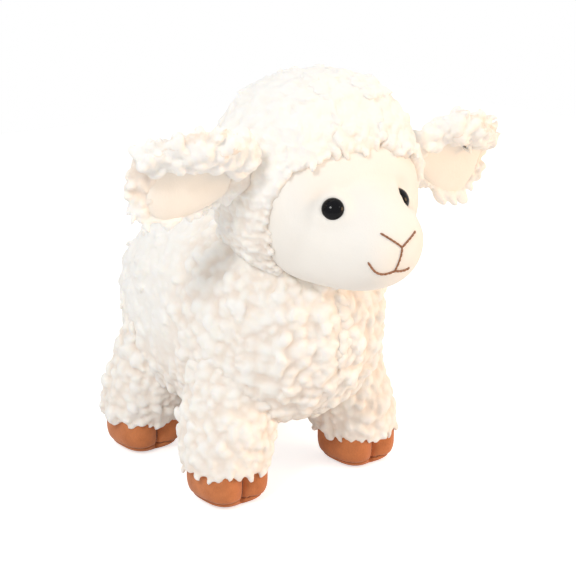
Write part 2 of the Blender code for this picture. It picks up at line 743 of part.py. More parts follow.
def leg_forms(shop):
    """The guide shapes of every leg and hoof."""
    hoof = hoof_mesh()
    hooves = {
        "outer": hoof,
        "clear": offset_mesh(hoof, GAP),
        "inner_clear": offset_mesh(hoof, GAP - VELBOA),
        "inner": offset_mesh(hoof, -VELBOA),
    }
    legs = {}
    for name, (foot, hip, side) in leg_places().items():
        offset = Vector((side * foot[0], foot[1], 0))
        sleeve = leg_mesh(shop, foot, hip, side)
        core = offset_mesh(sleeve, -WOOL)
        leg = {"offset": offset, "sleeve": sleeve}
        for key, mesh in hooves.items():
            leg["hoof_" + key] = shop.guide("hoof_%s_%s" % (key, name), moved_mesh(mesh, offset))
        leg["core"] = core
        leg["core_clear"] = shop.guide("leg_core_clear_" + name, offset_mesh(core, GAP))
        legs[name] = leg
    return legs


def build_legs(shop, forms):
    """For each leg its wool sleeve, stuffing, hoof upper, sole and the thread of the cleft."""
    for name, leg in forms["legs"].items():
        offset = leg["offset"]
        shop.piece("leg_sleeve_" + name, leg["sleeve"], "wool",
                   [("DIFFERENCE", leg["core_clear"]), ("DIFFERENCE", leg["hoof_clear"]),
                    ("DIFFERENCE", forms["body_clear"])])
        shop.piece("leg_stuffing_" + name, leg["core"], "fibre",
                   [("UNION", leg["hoof_inner"]), ("DIFFERENCE", forms["body_core_clear"])])
        reach = LEG_RADIUS + OVERRUN
        levels = {"upper": (SOLE_HEIGHT + SEAM / 2, LEG_TOP), "sole": (0, SOLE_HEIGHT - SEAM / 2)}
        for kind, (low, high) in levels.items():
            band = shop.guide("hoof_band_%s_%s" % (kind, name), moved_mesh(
                box_mesh("hoof_band", (-reach, -reach, low), (reach, reach, high)), offset))
            shop.piece("hoof_%s_%s" % (kind, name), leg["hoof_outer"].data, "hoof",
                       [("INTERSECT", band), ("DIFFERENCE", leg["hoof_inner_clear"]),
                        ("DIFFERENCE", leg["core_clear"])])
        tree = surface_finder(leg["hoof_outer"].data)
        lowest = SOLE_HEIGHT + CLEFT_THREAD_RADIUS * 2
        highest = HEM_HEIGHT - CLEFT_THREAD_RADIUS * 2
        path = [(offset.x, blend(lowest, highest, index / CLEFT_STEPS)) for index in range(CLEFT_STEPS + 1)]
        points = stitch_points(tree, path, CLEFT_THREAD_RADIUS)
        stitch = "hoof_cleft_stitch_" + name
        shop.piece(stitch, thread_mesh(shop, stitch, points, CLEFT_THREAD_RADIUS), "thread")


def main():
    clear_scene()
    shop = Workshop()
    body = body_mesh()
    hood = hood_mesh()
    face = face_mesh()
    forms = {
        "body": shop.guide("body_form", body),
        "body_core": shop.guide("body_core", offset_mesh(body, -WOOL)),
        "body_clear": shop.guide("body_clear", offset_mesh(body, GAP)),
        "body_core_clear": shop.guide("body_core_clear_outer", offset_mesh(body, GAP - WOOL)),
        "hood": shop.guide("hood_form", hood),
        "face": shop.guide("face_form", face),
        "head_core": shop.guide("head_core", shop.joined(
            "head_core", [offset_mesh(hood, -WOOL), offset_mesh(face, -VELBOA)])),
        "head_core_clear": shop.guide("head_core_clear", shop.joined(
            "head_core_clear", [offset_mesh(hood, GAP - WOOL), offset_mesh(face, GAP - VELBOA)])),
        "legs": leg_forms(shop),
    }
    ears = ear_frames(forms)
    eyes = eye_frames(forms)
    hinge = tail_hinge(forms)
    forms["ear_pockets"] = [
        ball_cutter(shop, "ear_pocket_" + name, centre, EAR_ROOT_RADIUS + GAP)
        for name, (centre, _) in ears.items()]
    forms["tail_pockets"] = [
        ball_cutter(shop, "tail_pocket", hinge, TAIL_ROOT_RADIUS + TAIL_POCKET_CLEARANCE)]
    forms["eye_cutters"] = eye_cutters(shop, eyes)
    build_body(shop, forms)
    build_head(shop, forms)
    build_eyes(shop, eyes)
    build_stitches(shop, forms)
    build_ears(shop, ears)
    build_tail(shop, hinge)
    build_legs(shop, forms)


main()
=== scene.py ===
import json
import math

import bmesh
import bpy
import numpy as np
from mathutils import Matrix, Vector, noise
from mathutils.bvhtree import BVHTree


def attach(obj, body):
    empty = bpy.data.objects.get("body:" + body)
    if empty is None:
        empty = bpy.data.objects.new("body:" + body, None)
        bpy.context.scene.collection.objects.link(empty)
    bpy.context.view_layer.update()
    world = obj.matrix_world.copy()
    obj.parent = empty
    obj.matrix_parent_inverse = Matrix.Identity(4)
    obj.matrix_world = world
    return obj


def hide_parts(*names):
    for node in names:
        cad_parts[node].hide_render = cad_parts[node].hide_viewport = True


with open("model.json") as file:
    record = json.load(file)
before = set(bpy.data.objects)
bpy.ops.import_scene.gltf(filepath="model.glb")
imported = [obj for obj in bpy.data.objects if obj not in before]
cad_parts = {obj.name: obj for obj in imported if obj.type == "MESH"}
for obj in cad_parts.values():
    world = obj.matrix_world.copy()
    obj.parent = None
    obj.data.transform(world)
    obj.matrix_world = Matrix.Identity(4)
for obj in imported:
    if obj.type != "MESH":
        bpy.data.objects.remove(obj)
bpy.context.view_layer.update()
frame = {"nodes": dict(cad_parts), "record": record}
rng = np.random.default_rng(11)

# The smooth forms of the CAD part, in metres
HOOD = dict(centre=(0, -0.0460, 0.1730), radii=(0.0530, 0.0385, 0.0510), fullness=2.5)
FACE_Y, FACE_Z = -0.0651, 0.1592
FACE_RADII = (0.0452, 0.0250, 0.0388)
FACE_FULLNESS, FACE_TAPER = 2.5, 0.11
SNOUT_REACH, SNOUT_HEIGHT, SNOUT_SPREAD = 0.0252, 0.1405, 0.0354
SNOUT_BLUNTNESS, SNOUT_SOFTNESS = 3.2, 1.25
EAR_LENGTH, EAR_HALF_THICKNESS, EAR_ROOT = 0.062, 0.0042, 0.0060
EAR_WIDTHS = {"upper": (0.0120, 0.0270, 0.31, 0.9, 0.68), "lower": (0.0080, 0.0232, 0.74, 0.68, 0.38)}
EAR_LININGS = {"left": (0.53, 0.385), "right": (0.495, 0.345)}
EAR_FOLDS = {"left": (0.0082, 0.72), "right": (0.0100, 0.66)}
EAR_FRINGES = {"left": 1.6, "right": 1.15}
EAR_CURLS = (0.014, 0.007)
EAR_SWEEP, EAR_TILT = math.radians(4), math.radians(16)
EAR_LIFTS = {"left": math.radians(-8), "right": math.radians(9)}
FEET = {"front": (0.0448, -0.0285), "hind": (0.0375, 0.0630)}
HOOF_RADII = (0.0190, 0.0195, 0.0150)
HOOF_Y, HOOF_Z, HOOF_FULLNESS = -0.0018, 0.0145, 3.0
SOLE_HEIGHT, HEM_HEIGHT = 0.0045, 0.0205
MOUTH_FAR_SHARE = 0.62
HOOD_CORNERS = {"left": 0.0100, "right": 0.0046}
EYE_TILT, EYE_RADIUS, EYE_RISE = 0.10, 0.0054, 0.0038
EYE_LIPS = {"left": 0.0022, "right": 0.0010}
EYE_SINKS = {"left": 0.0026, "right": 0.0013}
EYE_SHIFTS = {"left": (-0.0018, 0.0, 0.0003), "right": (-0.0022, 0.0, 0.0009)}
CHEEK_AT, CHEEK_SPREAD, CHEEK_SWELL = (0.034, 0.1565), (0.011, 0.013), (0.0020, 0.0012)
VELBOA = 0.002
SIDES = {"left": 1, "right": -1}
LEGS = [(end, side) for end in FEET for side in SIDES]

JOINT_AT = {j["child"]: Vector(j["pos_m"]) for j in frame["record"]["behaviour"]["joints"]}


# Small helpers

def ease(share):
    share = np.clip(share, 0, 1)
    return share * share * (3 - 2 * share)


def mix(start, end, share):
    return start + (end - start) * share


def unit(v):
    return v / np.maximum(np.linalg.norm(v, axis=-1, keepdims=True), 1e-12)


def linked(name, mesh):
    made = bpy.data.objects.new(name, mesh)
    bpy.context.scene.collection.objects.link(made)
    return made


def mesh_of(name, verts, faces):
    mesh = bpy.data.meshes.new(name)
    mesh.from_pydata([tuple(v) for v in verts], [], [tuple(f) for f in faces])
    mesh.update()
    return mesh


def evaluated(target, name):
    """The object's mesh with its modifiers worked in. The object itself goes."""
    graph = bpy.context.evaluated_depsgraph_get()
    mesh = bpy.data.meshes.new_from_object(target.evaluated_get(graph))
    mesh.name = name
    bpy.data.objects.remove(target, do_unlink=True)
    return mesh


def coords(mesh):
    co = np.empty(len(mesh.vertices) * 3)
    mesh.vertices.foreach_get("co", co)
    return co.reshape(-1, 3)


def normals(mesh):
    out = np.empty(len(mesh.vertices) * 3)
    mesh.vertex_normals.foreach_get("vector", out)
    return out.reshape(-1, 3)


def set_coords(mesh, co):
    mesh.vertices.foreach_set("co", np.ascontiguousarray(co).ravel())
    mesh.update()


def grown_noise(mesh, scale, depth, seed):
    """Moves the mesh along its normals by a soft noise."""
    co, nn = coords(mesh), normals(mesh)
    offset = Vector((seed * 3.7, seed * 1.9, seed * 5.3))
    lift = np.array([noise.noise(Vector(c) * scale + offset) for c in co])
    set_coords(mesh, co + nn * (lift * depth)[:, None])


def smooth_shaded(obj):
    obj.data.shade_smooth()
    return obj


def place(obj, body, material, *nodes, slot=None):
    """Gives a piece its material and its body, and hides the CAD nodes that it stands for."""
    obj.data.materials.clear()
    obj.data.materials.append(material)
    smooth_shaded(obj)
    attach(obj, body)
    if nodes:
        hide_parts(*nodes)
    return obj


def egg(around, along, fullness):
    """Points of a unit egg as rings from the bottom to the top, and its faces."""
    turn = np.arange(around) / around * math.tau
    tilt = np.linspace(-math.pi / 2, math.pi / 2, along + 1)[1:-1]
    rings = np.stack([np.outer(np.cos(tilt), np.cos(turn)), np.outer(np.cos(tilt), np.sin(turn)),
                      np.repeat(np.sin(tilt)[:, None], around, 1)], -1).reshape(-1, 3)
    pts = np.vstack([rings, [[0, 0, -1], [0, 0, 1]]])
    pts *= (np.abs(pts) ** fullness).sum(1)[:, None] ** (-1 / fullness)
    faces = []
    for ring in range(along - 2):
        for i in range(around):
            a, b = ring * around + i, ring * around + (i + 1) % around
            faces.append((a, b, b + around, a + around))
    low, high, last = len(rings), len(rings) + 1, (along - 2) * around
    for i in range(around):
        j = (i + 1) % around
        faces.append((low, j, i))
        faces.append((high, last + i, last + j))
    return pts, faces


def part_of(pts, faces, keep):
    """The faces whose corners are all kept, with their points renumbered."""
    kept = [f for f in faces if all(keep[i] for i in f)]
    used = sorted({i for f in kept for i in f})
    index = {old: new for new, old in enumerate(used)}
    return pts[used], [tuple(index[i] for i in f) for f in kept]


def shell(name, pts, faces, thickness, smooth=0, levels=0):
    """A closed skin of that thickness, inwards from an open sheet."""
    blank = linked(name, mesh_of(name, pts, faces))
    if smooth:
        mod = blank.modifiers.new("smooth", "SMOOTH")
        mod.iterations, mod.factor = smooth, 0.5
    if levels:
        mod = blank.modifiers.new("fine", "SUBSURF")
        mod.levels = mod.render_levels = levels
    mod = blank.modifiers.new("skin", "SOLIDIFY")
    mod.thickness, mod.offset = thickness, -1
    return evaluated(blank, name)


def tube(points, radii, sides, section=(1, 1), up=(0, 0, 1)):
    """A tapering tube through points, closed at both ends by a point."""
    points = np.asarray(points, float)
    along = unit(np.gradient(points, axis=0))
    side = unit(np.cross(np.broadcast_to(up, along.shape), along))
    top = np.cross(along, side)
    turn = np.arange(sides) / sides * math.tau
    ring = (side[:, None] * np.cos(turn)[None, :, None] * section[0]
            + top[:, None] * np.sin(turn)[None, :, None] * section[1])
    verts = (points[:, None] + ring * np.asarray(radii)[:, None, None]).reshape(-1, 3)
    faces = []
    for k in range(len(points) - 1):
        for i in range(sides):
            a, b = k * sides + i, k * sides + (i + 1) % sides
            faces.append((a, b, b + sides, a + sides))
    start, end = len(verts), len(verts) + 1
    verts = np.vstack([verts, points[0] - along[0] * radii[0] * 0.4,
                       points[-1] + along[-1] * radii[-1] * 0.4])
    last = (len(points) - 1) * sides
    for i in range(sides):
        j = (i + 1) % sides
        faces.append((start, j, i))
        faces.append((end, last + i, last + j))
    return verts, faces


# Materials

def shader_of(name, colour, roughness):
    made = bpy.data.materials.new(name)
    made.use_nodes = True
    bsdf = made.node_tree.nodes["Principled BSDF"]
    bsdf.inputs["Base Color"].default_value = (*colour, 1)
    bsdf.inputs["Roughness"].default_value = roughness
    return made, made.node_tree, bsdf


def node(tree, kind, **values):
    made = tree.nodes.new(kind)
    for key, value in values.items():
        if key in made.inputs:
            made.inputs[key].default_value = value
        else:
            setattr(made, key, value)
    return made


def mixed(tree, factor, first, second):
    """A colour between two colours or sockets."""
    made = tree.nodes.new("ShaderNodeMix")
    made.data_type = "RGBA"
    for socket, value in ((made.inputs[0], factor), (made.inputs[6], first), (made.inputs[7], second)):
        if isinstance(value, bpy.types.NodeSocket):
            tree.links.new(value, socket)
        else:
            socket.default_value = value if isinstance(value, float) else (*value, 1)
    return made.outputs[2]


def ranged(tree, socket, low, high, to_low=0.0, to_high=1.0):
    made = tree.nodes.new("ShaderNodeMapRange")
    for i, value in enumerate((low, high, to_low, to_high)):
        made.inputs[i + 1].default_value = value
    tree.links.new(socket, made.inputs[0])
    return made.outputs[0]


def noise_at(tree, scale, detail=3.0, stretch=None, uv=None):
    """A noise in the object's own metres, or along a named map."""
    if uv:
        source = node(tree, "ShaderNodeUVMap", uv_map=uv).outputs[0]
    else:
        source = tree.nodes.new("ShaderNodeTexCoord").outputs["Object"]
    if stretch:
        mapping = tree.nodes.new("ShaderNodeMapping")
        mapping.inputs["Scale"].default_value = stretch
        tree.links.new(source, mapping.inputs["Vector"])
        source = mapping.outputs[0]
    made = node(tree, "ShaderNodeTexNoise", Scale=scale, Detail=detail)
    tree.links.new(source, made.inputs["Vector"])
    return made.outputs[0]


def bumped(tree, bsdf, heights):
    """Bump from several (socket, strength, distance)."""
    normal = None
    for socket, strength, distance in heights:
        made = node(tree, "ShaderNodeBump", Strength=strength, Distance=distance)
        tree.links.new(socket, made.inputs["Height"])
        if normal is not None:
            tree.links.new(normal, made.inputs["Normal"])
        normal = made.outputs[0]
    tree.links.new(normal, bsdf.inputs["Normal"])


def curl_material(name, tip, painted_root_shade):
    made, tree, bsdf = shader_of(name, tip, 0.9)
    # Painted shade: the colour darkens from the tip colour to the root colour in the creases between the locks,
    # by each point's height above the cloth
    depth = node(tree, "ShaderNodeAttribute", attribute_name="depth").outputs["Fac"]
    colour = mixed(tree, ranged(tree, depth, 0.0, 0.7), painted_root_shade, tip)
    warm = tuple(np.array(tip) * (0.99, 0.970, 0.945))
    colour = mixed(tree, ranged(tree, noise_at(tree, 90.0, 2.0), 0.45, 0.75, 0.0, 0.7), colour, warm)
    tree.links.new(colour, bsdf.inputs["Base Color"])
    fluff = noise_at(tree, 620.0, 4.0)
    strands = noise_at(tree, 1900.0, 2.0)
    tree.links.new(ranged(tree, fluff, 0.3, 0.7, 0.85, 1.0), bsdf.inputs["Roughness"])
    bumped(tree, bsdf, ((fluff, 0.4, 0.0006), (strands, 0.5, 0.0004)))
    bsdf.inputs["Sheen Weight"].default_value = 0.35
    bsdf.inputs["Sheen Roughness"].default_value = 0.5
    bsdf.inputs["Subsurface Weight"].default_value = 0.45
    bsdf.inputs["Subsurface Radius"].default_value = (1.0, 0.88, 0.74)
    bsdf.inputs["Subsurface Scale"].default_value = 0.0016
    return made


def fleece_material(name, light, dark):
    """The knitted ground below the curls."""
    made, tree, bsdf = shader_of(name, light, 0.95)
    patches = noise_at(tree, 160.0, 4.0)
    tree.links.new(mixed(tree, ranged(tree, patches, 0.3, 0.7), dark, light), bsdf.inputs["Base Color"])
    bumped(tree, bsdf, ((patches, 0.6, 0.0012), (noise_at(tree, 1500.0, 2.0), 0.5, 0.0004)))
    bsdf.inputs["Sheen Weight"].default_value = 0.3
    return made


def pile_material(name, light, dark, sheen, depth, patch=70.0, spread=(0.25, 0.75)):
    """Short brushed pile: fine nap, soft patches where it lies another way, and a sheen."""
    made, tree, bsdf = shader_of(name, light, 0.85)
    patches = noise_at(tree, patch, 3.0)
    nap = noise_at(tree, 1900.0, 3.0, (1.0, 1.0, 0.45))
    share = mixed(tree, 0.35, patches, nap)
    tree.links.new(mixed(tree, ranged(tree, share, *spread), dark, light), bsdf.inputs["Base Color"])
    tree.links.new(ranged(tree, nap, 0.3, 0.7, 0.75, 0.95), bsdf.inputs["Roughness"])
    bumped(tree, bsdf, ((patches, 0.25, 0.0008), (nap, 0.6, depth)))
    bsdf.inputs["Sheen Weight"].default_value = sheen
    bsdf.inputs["Sheen Roughness"].default_value = 0.4
    return made


def thread_material(name, light, dark):
    """Embroidery thread: two plies turned round each other."""
    made, tree, bsdf = shader_of(name, light, 0.55)
    wave = node(tree, "ShaderNodeTexWave", wave_type="BANDS", bands_direction="DIAGONAL", Scale=650.0)
    tree.links.new(tree.nodes.new("ShaderNodeTexCoord").outputs["Object"], wave.inputs["Vector"])
    tree.links.new(mixed(tree, wave.outputs["Fac"], dark, light), bsdf.inputs["Base Color"])
    tree.links.new(ranged(tree, wave.outputs["Fac"], 0.0, 1.0, 0.7, 0.45), bsdf.inputs["Roughness"])
    bumped(tree, bsdf, ((wave.outputs["Fac"], 0.6, 0.0003),))
    bsdf.inputs["Sheen Weight"].default_value = 0.2
    return made


def plastic_material(name, colour, roughness, shine):
    made, tree, bsdf = shader_of(name, colour, roughness)
    faint = noise_at(tree, 900.0, 2.0)
    light = tuple(min(c * 1.3 + 0.002, 1) for c in colour)
    tree.links.new(mixed(tree, faint, colour, light), bsdf.inputs["Base Color"])
    tree.links.new(ranged(tree, faint, 0.3, 0.7, roughness, roughness * 1.6), bsdf.inputs["Roughness"])
    bsdf.inputs["Specular IOR Level"].default_value = shine
    return made


# The wool's tip colour, and the darker colour of painted shade in the creases between the locks
WOOL = curl_material("wool_curl", (0.970, 0.940, 0.895), (0.86, 0.765, 0.675))
FACE_PILE = pile_material("face_pile", (0.915, 0.890, 0.840), (0.895, 0.860, 0.800), 0.35, 0.00025)
LINING_PILE = pile_material("lining_pile", (0.935, 0.885, 0.81), (0.89, 0.825, 0.74), 0.35, 0.00025)
HOOF_PILE = pile_material("hoof_pile", (0.66, 0.230, 0.080), (0.46, 0.138, 0.043), 0.22, 0.0004, 110.0,
                          (0.3, 0.7))
THREAD = thread_material("face_thread", (0.38, 0.165, 0.075), (0.22, 0.085, 0.035))
CLEFT_THREAD = thread_material("hoof_thread", (0.26, 0.085, 0.035), (0.16, 0.05, 0.02))
EYE = plastic_material("eye_plastic", (0.002, 0.002, 0.003), 0.09, 0.13)
WASHER = plastic_material("washer_plastic", (0.75, 0.75, 0.72), 0.45, 0.5)
FIBRE = fleece_material("stuffing_fibre", (0.92, 0.92, 0.90), (0.82, 0.82, 0.80))


# The solids of the frame, for rays

def node_triangles(name):
    mesh = frame["nodes"][name].data
    mesh.calc_loop_triangles()
    tris = np.empty(len(mesh.loop_triangles) * 3, int)
    mesh.loop_triangles.foreach_get("vertices", tris)
    return coords(mesh), tris.reshape(-1, 3)


def tree_of(parts):
    """One ray tree of several (points, faces)."""
    verts, faces, start = [], [], 0
    for pts, tri in parts:
        verts.append(pts)
        faces += [tuple(int(i) + start for i in f) for f in tri]
        start += len(pts)
    return BVHTree.FromPolygons([tuple(v) for v in np.vstack(verts)], faces)


SOLIDS = {name: node_triangles(name) for name in frame["nodes"]}
SOLID_TREE = tree_of(SOLIDS.values())


def remeshed(name, source, voxel, smooth, lumps, seed):
    """A rounded copy of a CAD solid, without its facets."""
    blank = linked(name, frame["nodes"][source].data.copy())
    mod = blank.modifiers.new("remesh", "REMESH")
    mod.mode, mod.voxel_size = "VOXEL", voxel
    mod = blank.modifiers.new("smooth", "SMOOTH")
    mod.iterations, mod.factor = smooth, 0.5
    mesh = evaluated(blank, name)
    if lumps:
        grown_noise(mesh, 190, lumps, seed)
    return mesh


FINE_VOXEL, BODY_VOXEL, TAIL_VOXEL = 0.0009, 0.00094, 0.0008
WOOL_PANELS = (["belly_panel", "body_panel_left", "body_panel_right", "hood_crown", "hood_left",
                "hood_right"]
               + ["leg_sleeve_%s_%s" % leg for leg in LEGS] + ["tail_upper", "tail_lower"])


# Curls of wool

def curl_template(rings, sides, seed, pointed=False, plump=False, combed=False):
    """A lock about 1 long that rises from the cloth, bends over and comes to a soft point."""
    own = np.random.default_rng(seed)
    first, last = own.uniform(0.35, 0.85), own.uniform(1.65, 2.25)
    swirl, tip = own.uniform(-1.2, 1.2), own.uniform(0.0, 1.0)
    if pointed:
        first, last, swirl = own.uniform(0.7, 1.1), own.uniform(1.3, 1.9), swirl * 0.6
    if combed:
        first, last, swirl = own.uniform(1.15, 1.35), own.uniform(1.60, 1.80), swirl * 0.5
    s = np.linspace(0, 1, rings)
    lean, heading = mix(first, last, s ** 0.8), swirl * s
    d = np.stack([np.sin(lean) * np.cos(heading), np.sin(lean) * np.sin(heading), np.cos(lean)], 1)
    centre = np.vstack([[0, 0, 0], np.cumsum((d[:-1] + d[1:]) / 2 / (rings - 1), 0)])
    radius = np.sin(math.pi * (0.20 + mix(0.78, 0.70, tip) * s)) ** 0.65 * own.uniform(0.27, 0.34)
    if pointed:
        radius = (0.27 * (1 - s) ** 0.75 * (0.7 + 0.7 * s) + 0.012) * own.uniform(0.85, 1.15)
    if plump:
        centre, radius = centre * 0.55, radius * own.uniform(1.20, 1.40)
    if combed:
        radius = 0.19 * np.sin(math.pi * (0.06 + 0.90 * s)) ** 0.7 * own.uniform(0.85, 1.1)
    side = np.stack([-np.sin(heading), np.cos(heading), np.zeros(rings)], 1)
    top = np.cross(d, side)
    turn = np.arange(sides) / sides * math.tau
    lobes = 1 + 0.09 * np.cos(3 * turn[None] + own.uniform(0, 6) + swirl * 2 * s[:, None])
    ring = side[:, None] * np.cos(turn)[None, :, None] * 1.12 + top[:, None] * np.sin(turn)[None, :, None] * 0.88
    verts = (centre[:, None] + ring * (radius[:, None] * lobes)[:, :, None]).reshape(-1, 3)
    verts = np.vstack([verts, centre[0] - d[0] * 0.1, centre[-1] + d[-1] * radius[-1] * 0.5])
    loops, totals, uvs = [], [], []
    for k in range(rings - 1):
        for i in range(sides):
            j = (i + 1) % sides
            loops += [k * sides + i, k * sides + j, (k + 1) * sides + j, (k + 1) * sides + i]
            totals.append(4)
            uvs += [(i, k), (i + 1, k), (i + 1, k + 1), (i, k + 1)]
    low, high, end = rings * sides, rings * sides + 1, (rings - 1) * sides
    for i in range(sides):
        j = (i + 1) % sides
        loops += [low, j, i, high, end + i, end + j]
        totals += [3, 3]
        uvs += [(i + 0.5, -0.4), (i + 1, 0), (i, 0), (i + 0.5, rings - 0.6), (i, rings - 1),
                (i + 1, rings - 1)]
    uvs = (np.array(uvs) + (0, 0.5)) / (sides, rings)
    depth = np.append(np.repeat(s, sides), [0.0, 1.0])
    return dict(verts=verts, loops=np.array(loops), totals=np.array(totals), uvs=uvs, depth=depth)


LOCKS = {"leaf": [curl_template(8, 9, 100 + k) for k in range(12)],
         "puff": [curl_template(8, 10, 200 + k, plump=True) for k in range(10)],
         "small": [curl_template(6, 7, 300 + k) for k in range(8)],
         "strand": [curl_template(9, 8, 400 + k, combed=True) for k in range(10)],
         "wisp": [curl_template(9, 7, 500 + k, pointed=True) for k in range(8)]}


def curls_mesh(name, seeds, sink=0.16):
    """One mesh of every lock in seeds: (point, normal, lean, size, kind, flat)."""
    cells = math.ceil(math.sqrt(len(seeds)))
    verts, loops, totals, depths, tones, uvs, fibres = [], [], [], [], [], [], []
    start = 0
    for index, (point, normal, lean, size, kind, flat) in enumerate(seeds):
        form = LOCKS[kind][int(rng.integers(len(LOCKS[kind])))]
        ahead = lean - normal * np.dot(lean, normal)
        ahead /= max(np.linalg.norm(ahead), 1e-9)
        across = np.cross(normal, ahead)
        stretch = rng.uniform(0.88, 1.14, 3) * size
        turned = np.stack([ahead, across, normal])
        stretch[2] *= flat
        verts.append(point - normal * size * sink * flat + (form["verts"] * stretch) @ turned)
        loops.append(form["loops"] + start)
        totals.append(form["totals"])
        depths.append(form["depth"])
        tones.append(np.full(len(form["depth"]), rng.random()))
        cell = np.array((index % cells, index // cells))
        uvs.append((cell + 0.04 + form["uvs"] * 0.92) / cells)
        fibres.append(form["uvs"] + rng.random(2) * 7)
        start += len(form["verts"])
    verts, loops, totals = np.vstack(verts), np.concatenate(loops), np.concatenate(totals)
    mesh = bpy.data.meshes.new(name)
    mesh.vertices.add(len(verts))
    mesh.vertices.foreach_set("co", verts.ravel())
    mesh.loops.add(len(loops))
    mesh.loops.foreach_set("vertex_index", loops)
    mesh.polygons.add(len(totals))
    mesh.polygons.foreach_set("loop_start", np.concatenate([[0], np.cumsum(totals)[:-1]]))
    mesh.update(calc_edges=True)
    for label, values in (("depth", depths), ("tone", tones)):
        mesh.attributes.new(label, "FLOAT", "POINT").data.foreach_set("value", np.concatenate(values))
    for label, values in (("OFBake", uvs), ("Fibre", fibres)):
        mesh.uv_layers.new(name=label).data.foreach_set("uv", np.vstack(values).ravel())
    mesh.uv_layers["OFBake"].active_render = True
    mesh.validate()
    return mesh


def candidates(pts, tris, density):
    """Random points on triangles, that many to a square metre, with their normals."""
    a, b, c = (pts[tris[:, k]] for k in range(3))
    cross = np.cross(b - a, c - a)
    area = np.linalg.norm(cross, axis=1) / 2
    count = rng.poisson(area * density)
    owner = np.repeat(np.arange(len(tris)), count)
    u, v = rng.random(len(owner)), rng.random(len(owner))
    flip = u + v > 1
    u[flip], v[flip] = 1 - u[flip], 1 - v[flip]
    points = a[owner] + (b - a)[owner] * u[:, None] + (c - a)[owner] * v[:, None]
    return points, unit(cross)[owner]


def open_to_air(points, facing, reach=0.0014):
    """Which points have nothing of the part close in front of them."""
    free = np.ones(len(points), bool)
    for i, (p, n) in enumerate(zip(points, facing)):
        hit = SOLID_TREE.ray_cast(Vector(p + n * 0.00005), Vector(n), reach)[0]
        free[i] = hit is None
    return free


def fleece(name, ground, seeds, voxel, face=None, sink=0.11):
    """The ground and its locks melted into one soft skin, with the height above the cloth kept to paint shade
    into the creases.
    """
    locks = curls_mesh(name + "_locks", seeds, sink)
    both = bmesh.new()
    both.from_mesh(ground)
    both.from_mesh(locks)
    joined = bpy.data.meshes.new(name)
    both.to_mesh(joined)
    both.free()
    blank = linked(name, joined)
    mod = blank.modifiers.new("remesh", "REMESH")
    mod.mode, mod.voxel_size = "VOXEL", voxel
    mod = blank.modifiers.new("smooth", "SMOOTH")
    mod.iterations, mod.factor = 1, 0.25
    mesh = evaluated(blank, name)
    for label in [a.name for a in mesh.attributes if not a.is_required and not a.is_internal]:
        mesh.attributes.remove(mesh.attributes[label])
    co = coords(mesh)
    if face:
        for i, c in enumerate(co):
            near, normal, _, away = face.find_nearest(Vector(c), 0.005)
            if near is not None and hood_depth(np.array(near)) > 0.90:
                rise = (Vector(c) - near).dot(normal)
                pressed = rise - 0.0014 * (1 - float(ease(away / 0.0045)))
                co[i] += np.array(normal) * (max(pressed, -0.0009) - rise)
        set_coords(mesh, co)
    # The height above the cloth, kept as depth for painted shade in the creases; where the wool is combed flat
    # it gets less of that painted shade
    heights = []
    for c in co:
        near, normal, _, away = SOLID_TREE.find_nearest(Vector(c), 0.02)
        heights.append(0 if near is None else math.copysign(away, (Vector(c) - near).dot(normal)))
    flatness = calm(name, co)
    depth = np.clip((np.array(heights) - 0.0004) / mix(0.0040, 0.0022, flatness), 0, 1)
    mesh.attributes.new("depth", "FLOAT", "POINT").data.foreach_set("value", mix(depth, 1, flatness * 0.5))
    return mesh


class Spread:
    """Keeps accepted points apart, across all the panels."""

    def __init__(self, cell):
        self.cell, self.grid = cell, {}

    def accept(self, point, apart):
        key = tuple((point // self.cell).astype(int))
        near = []
        for dx in (-1, 0, 1):
            for dy in (-1, 0, 1):
                for dz in (-1, 0, 1):
                    near += self.grid.get((key[0] + dx, key[1] + dy, key[2] + dz), ())
        if near and (((np.array(near) - point) ** 2).sum(1) < apart * apart).any():
            return False
        self.grid.setdefault(key, []).append(point)
        return True


LARGE_SPREAD, SMALL_SPREAD, SEAM_SPREAD = Spread(0.0075), Spread(0.0075), Spread(0.0075)
DOWN = np.array((0, 0, -1.0))


def hood_depth(point):
    """Over 1 outside the hood's egg, under 1 inside."""
    scaled = np.abs((point - HOOD["centre"]) / HOOD["radii"]) ** HOOD["fullness"]
    return scaled.sum() ** (1 / HOOD["fullness"])


def face_points():
    """The face's fine form: points and faces."""
    pts, faces = egg(200, 130, FACE_FULLNESS)
    across = pts[:, 0] * FACE_RADII[0] * (1 + FACE_TAPER * pts[:, 2])
    height = FACE_Z + pts[:, 2] * FACE_RADII[2]
    away = np.hypot(across, height - SNOUT_HEIGHT) / SNOUT_SPREAD
    bulge = np.maximum(1 - away ** SNOUT_BLUNTNESS, 0) ** SNOUT_SOFTNESS
    swell = SNOUT_REACH * bulge * ease(-pts[:, 1] * 2)
    cheek = np.exp(-((np.abs(across) - CHEEK_AT[0]) / CHEEK_SPREAD[0]) ** 2
                   - ((height - CHEEK_AT[1]) / CHEEK_SPREAD[1]) ** 2) * ease(-pts[:, 1] * 2)
    out = np.stack([across + np.sign(across) * CHEEK_SWELL[0] * cheek,
                    FACE_Y + pts[:, 1] * FACE_RADII[1] - swell - CHEEK_SWELL[1] * cheek, height], 1)
    return out, faces


FACE_FORM = face_points()
FACE_TREE = tree_of([FACE_FORM])


def calm(name, points):
    """Where the wool is combed flat, from 0 to 1: the flanks and the back, and the crown."""
    points = np.atleast_2d(points)
    if name.startswith("body"):
        return ease((points[:, 1] + 0.012) / 0.03) * ease((points[:, 2] - 0.060) / 0.03)
    if name.startswith("hood"):
        return ease((points[:, 2] - 0.192) / 0.014)
    return np.zeros(len(points))


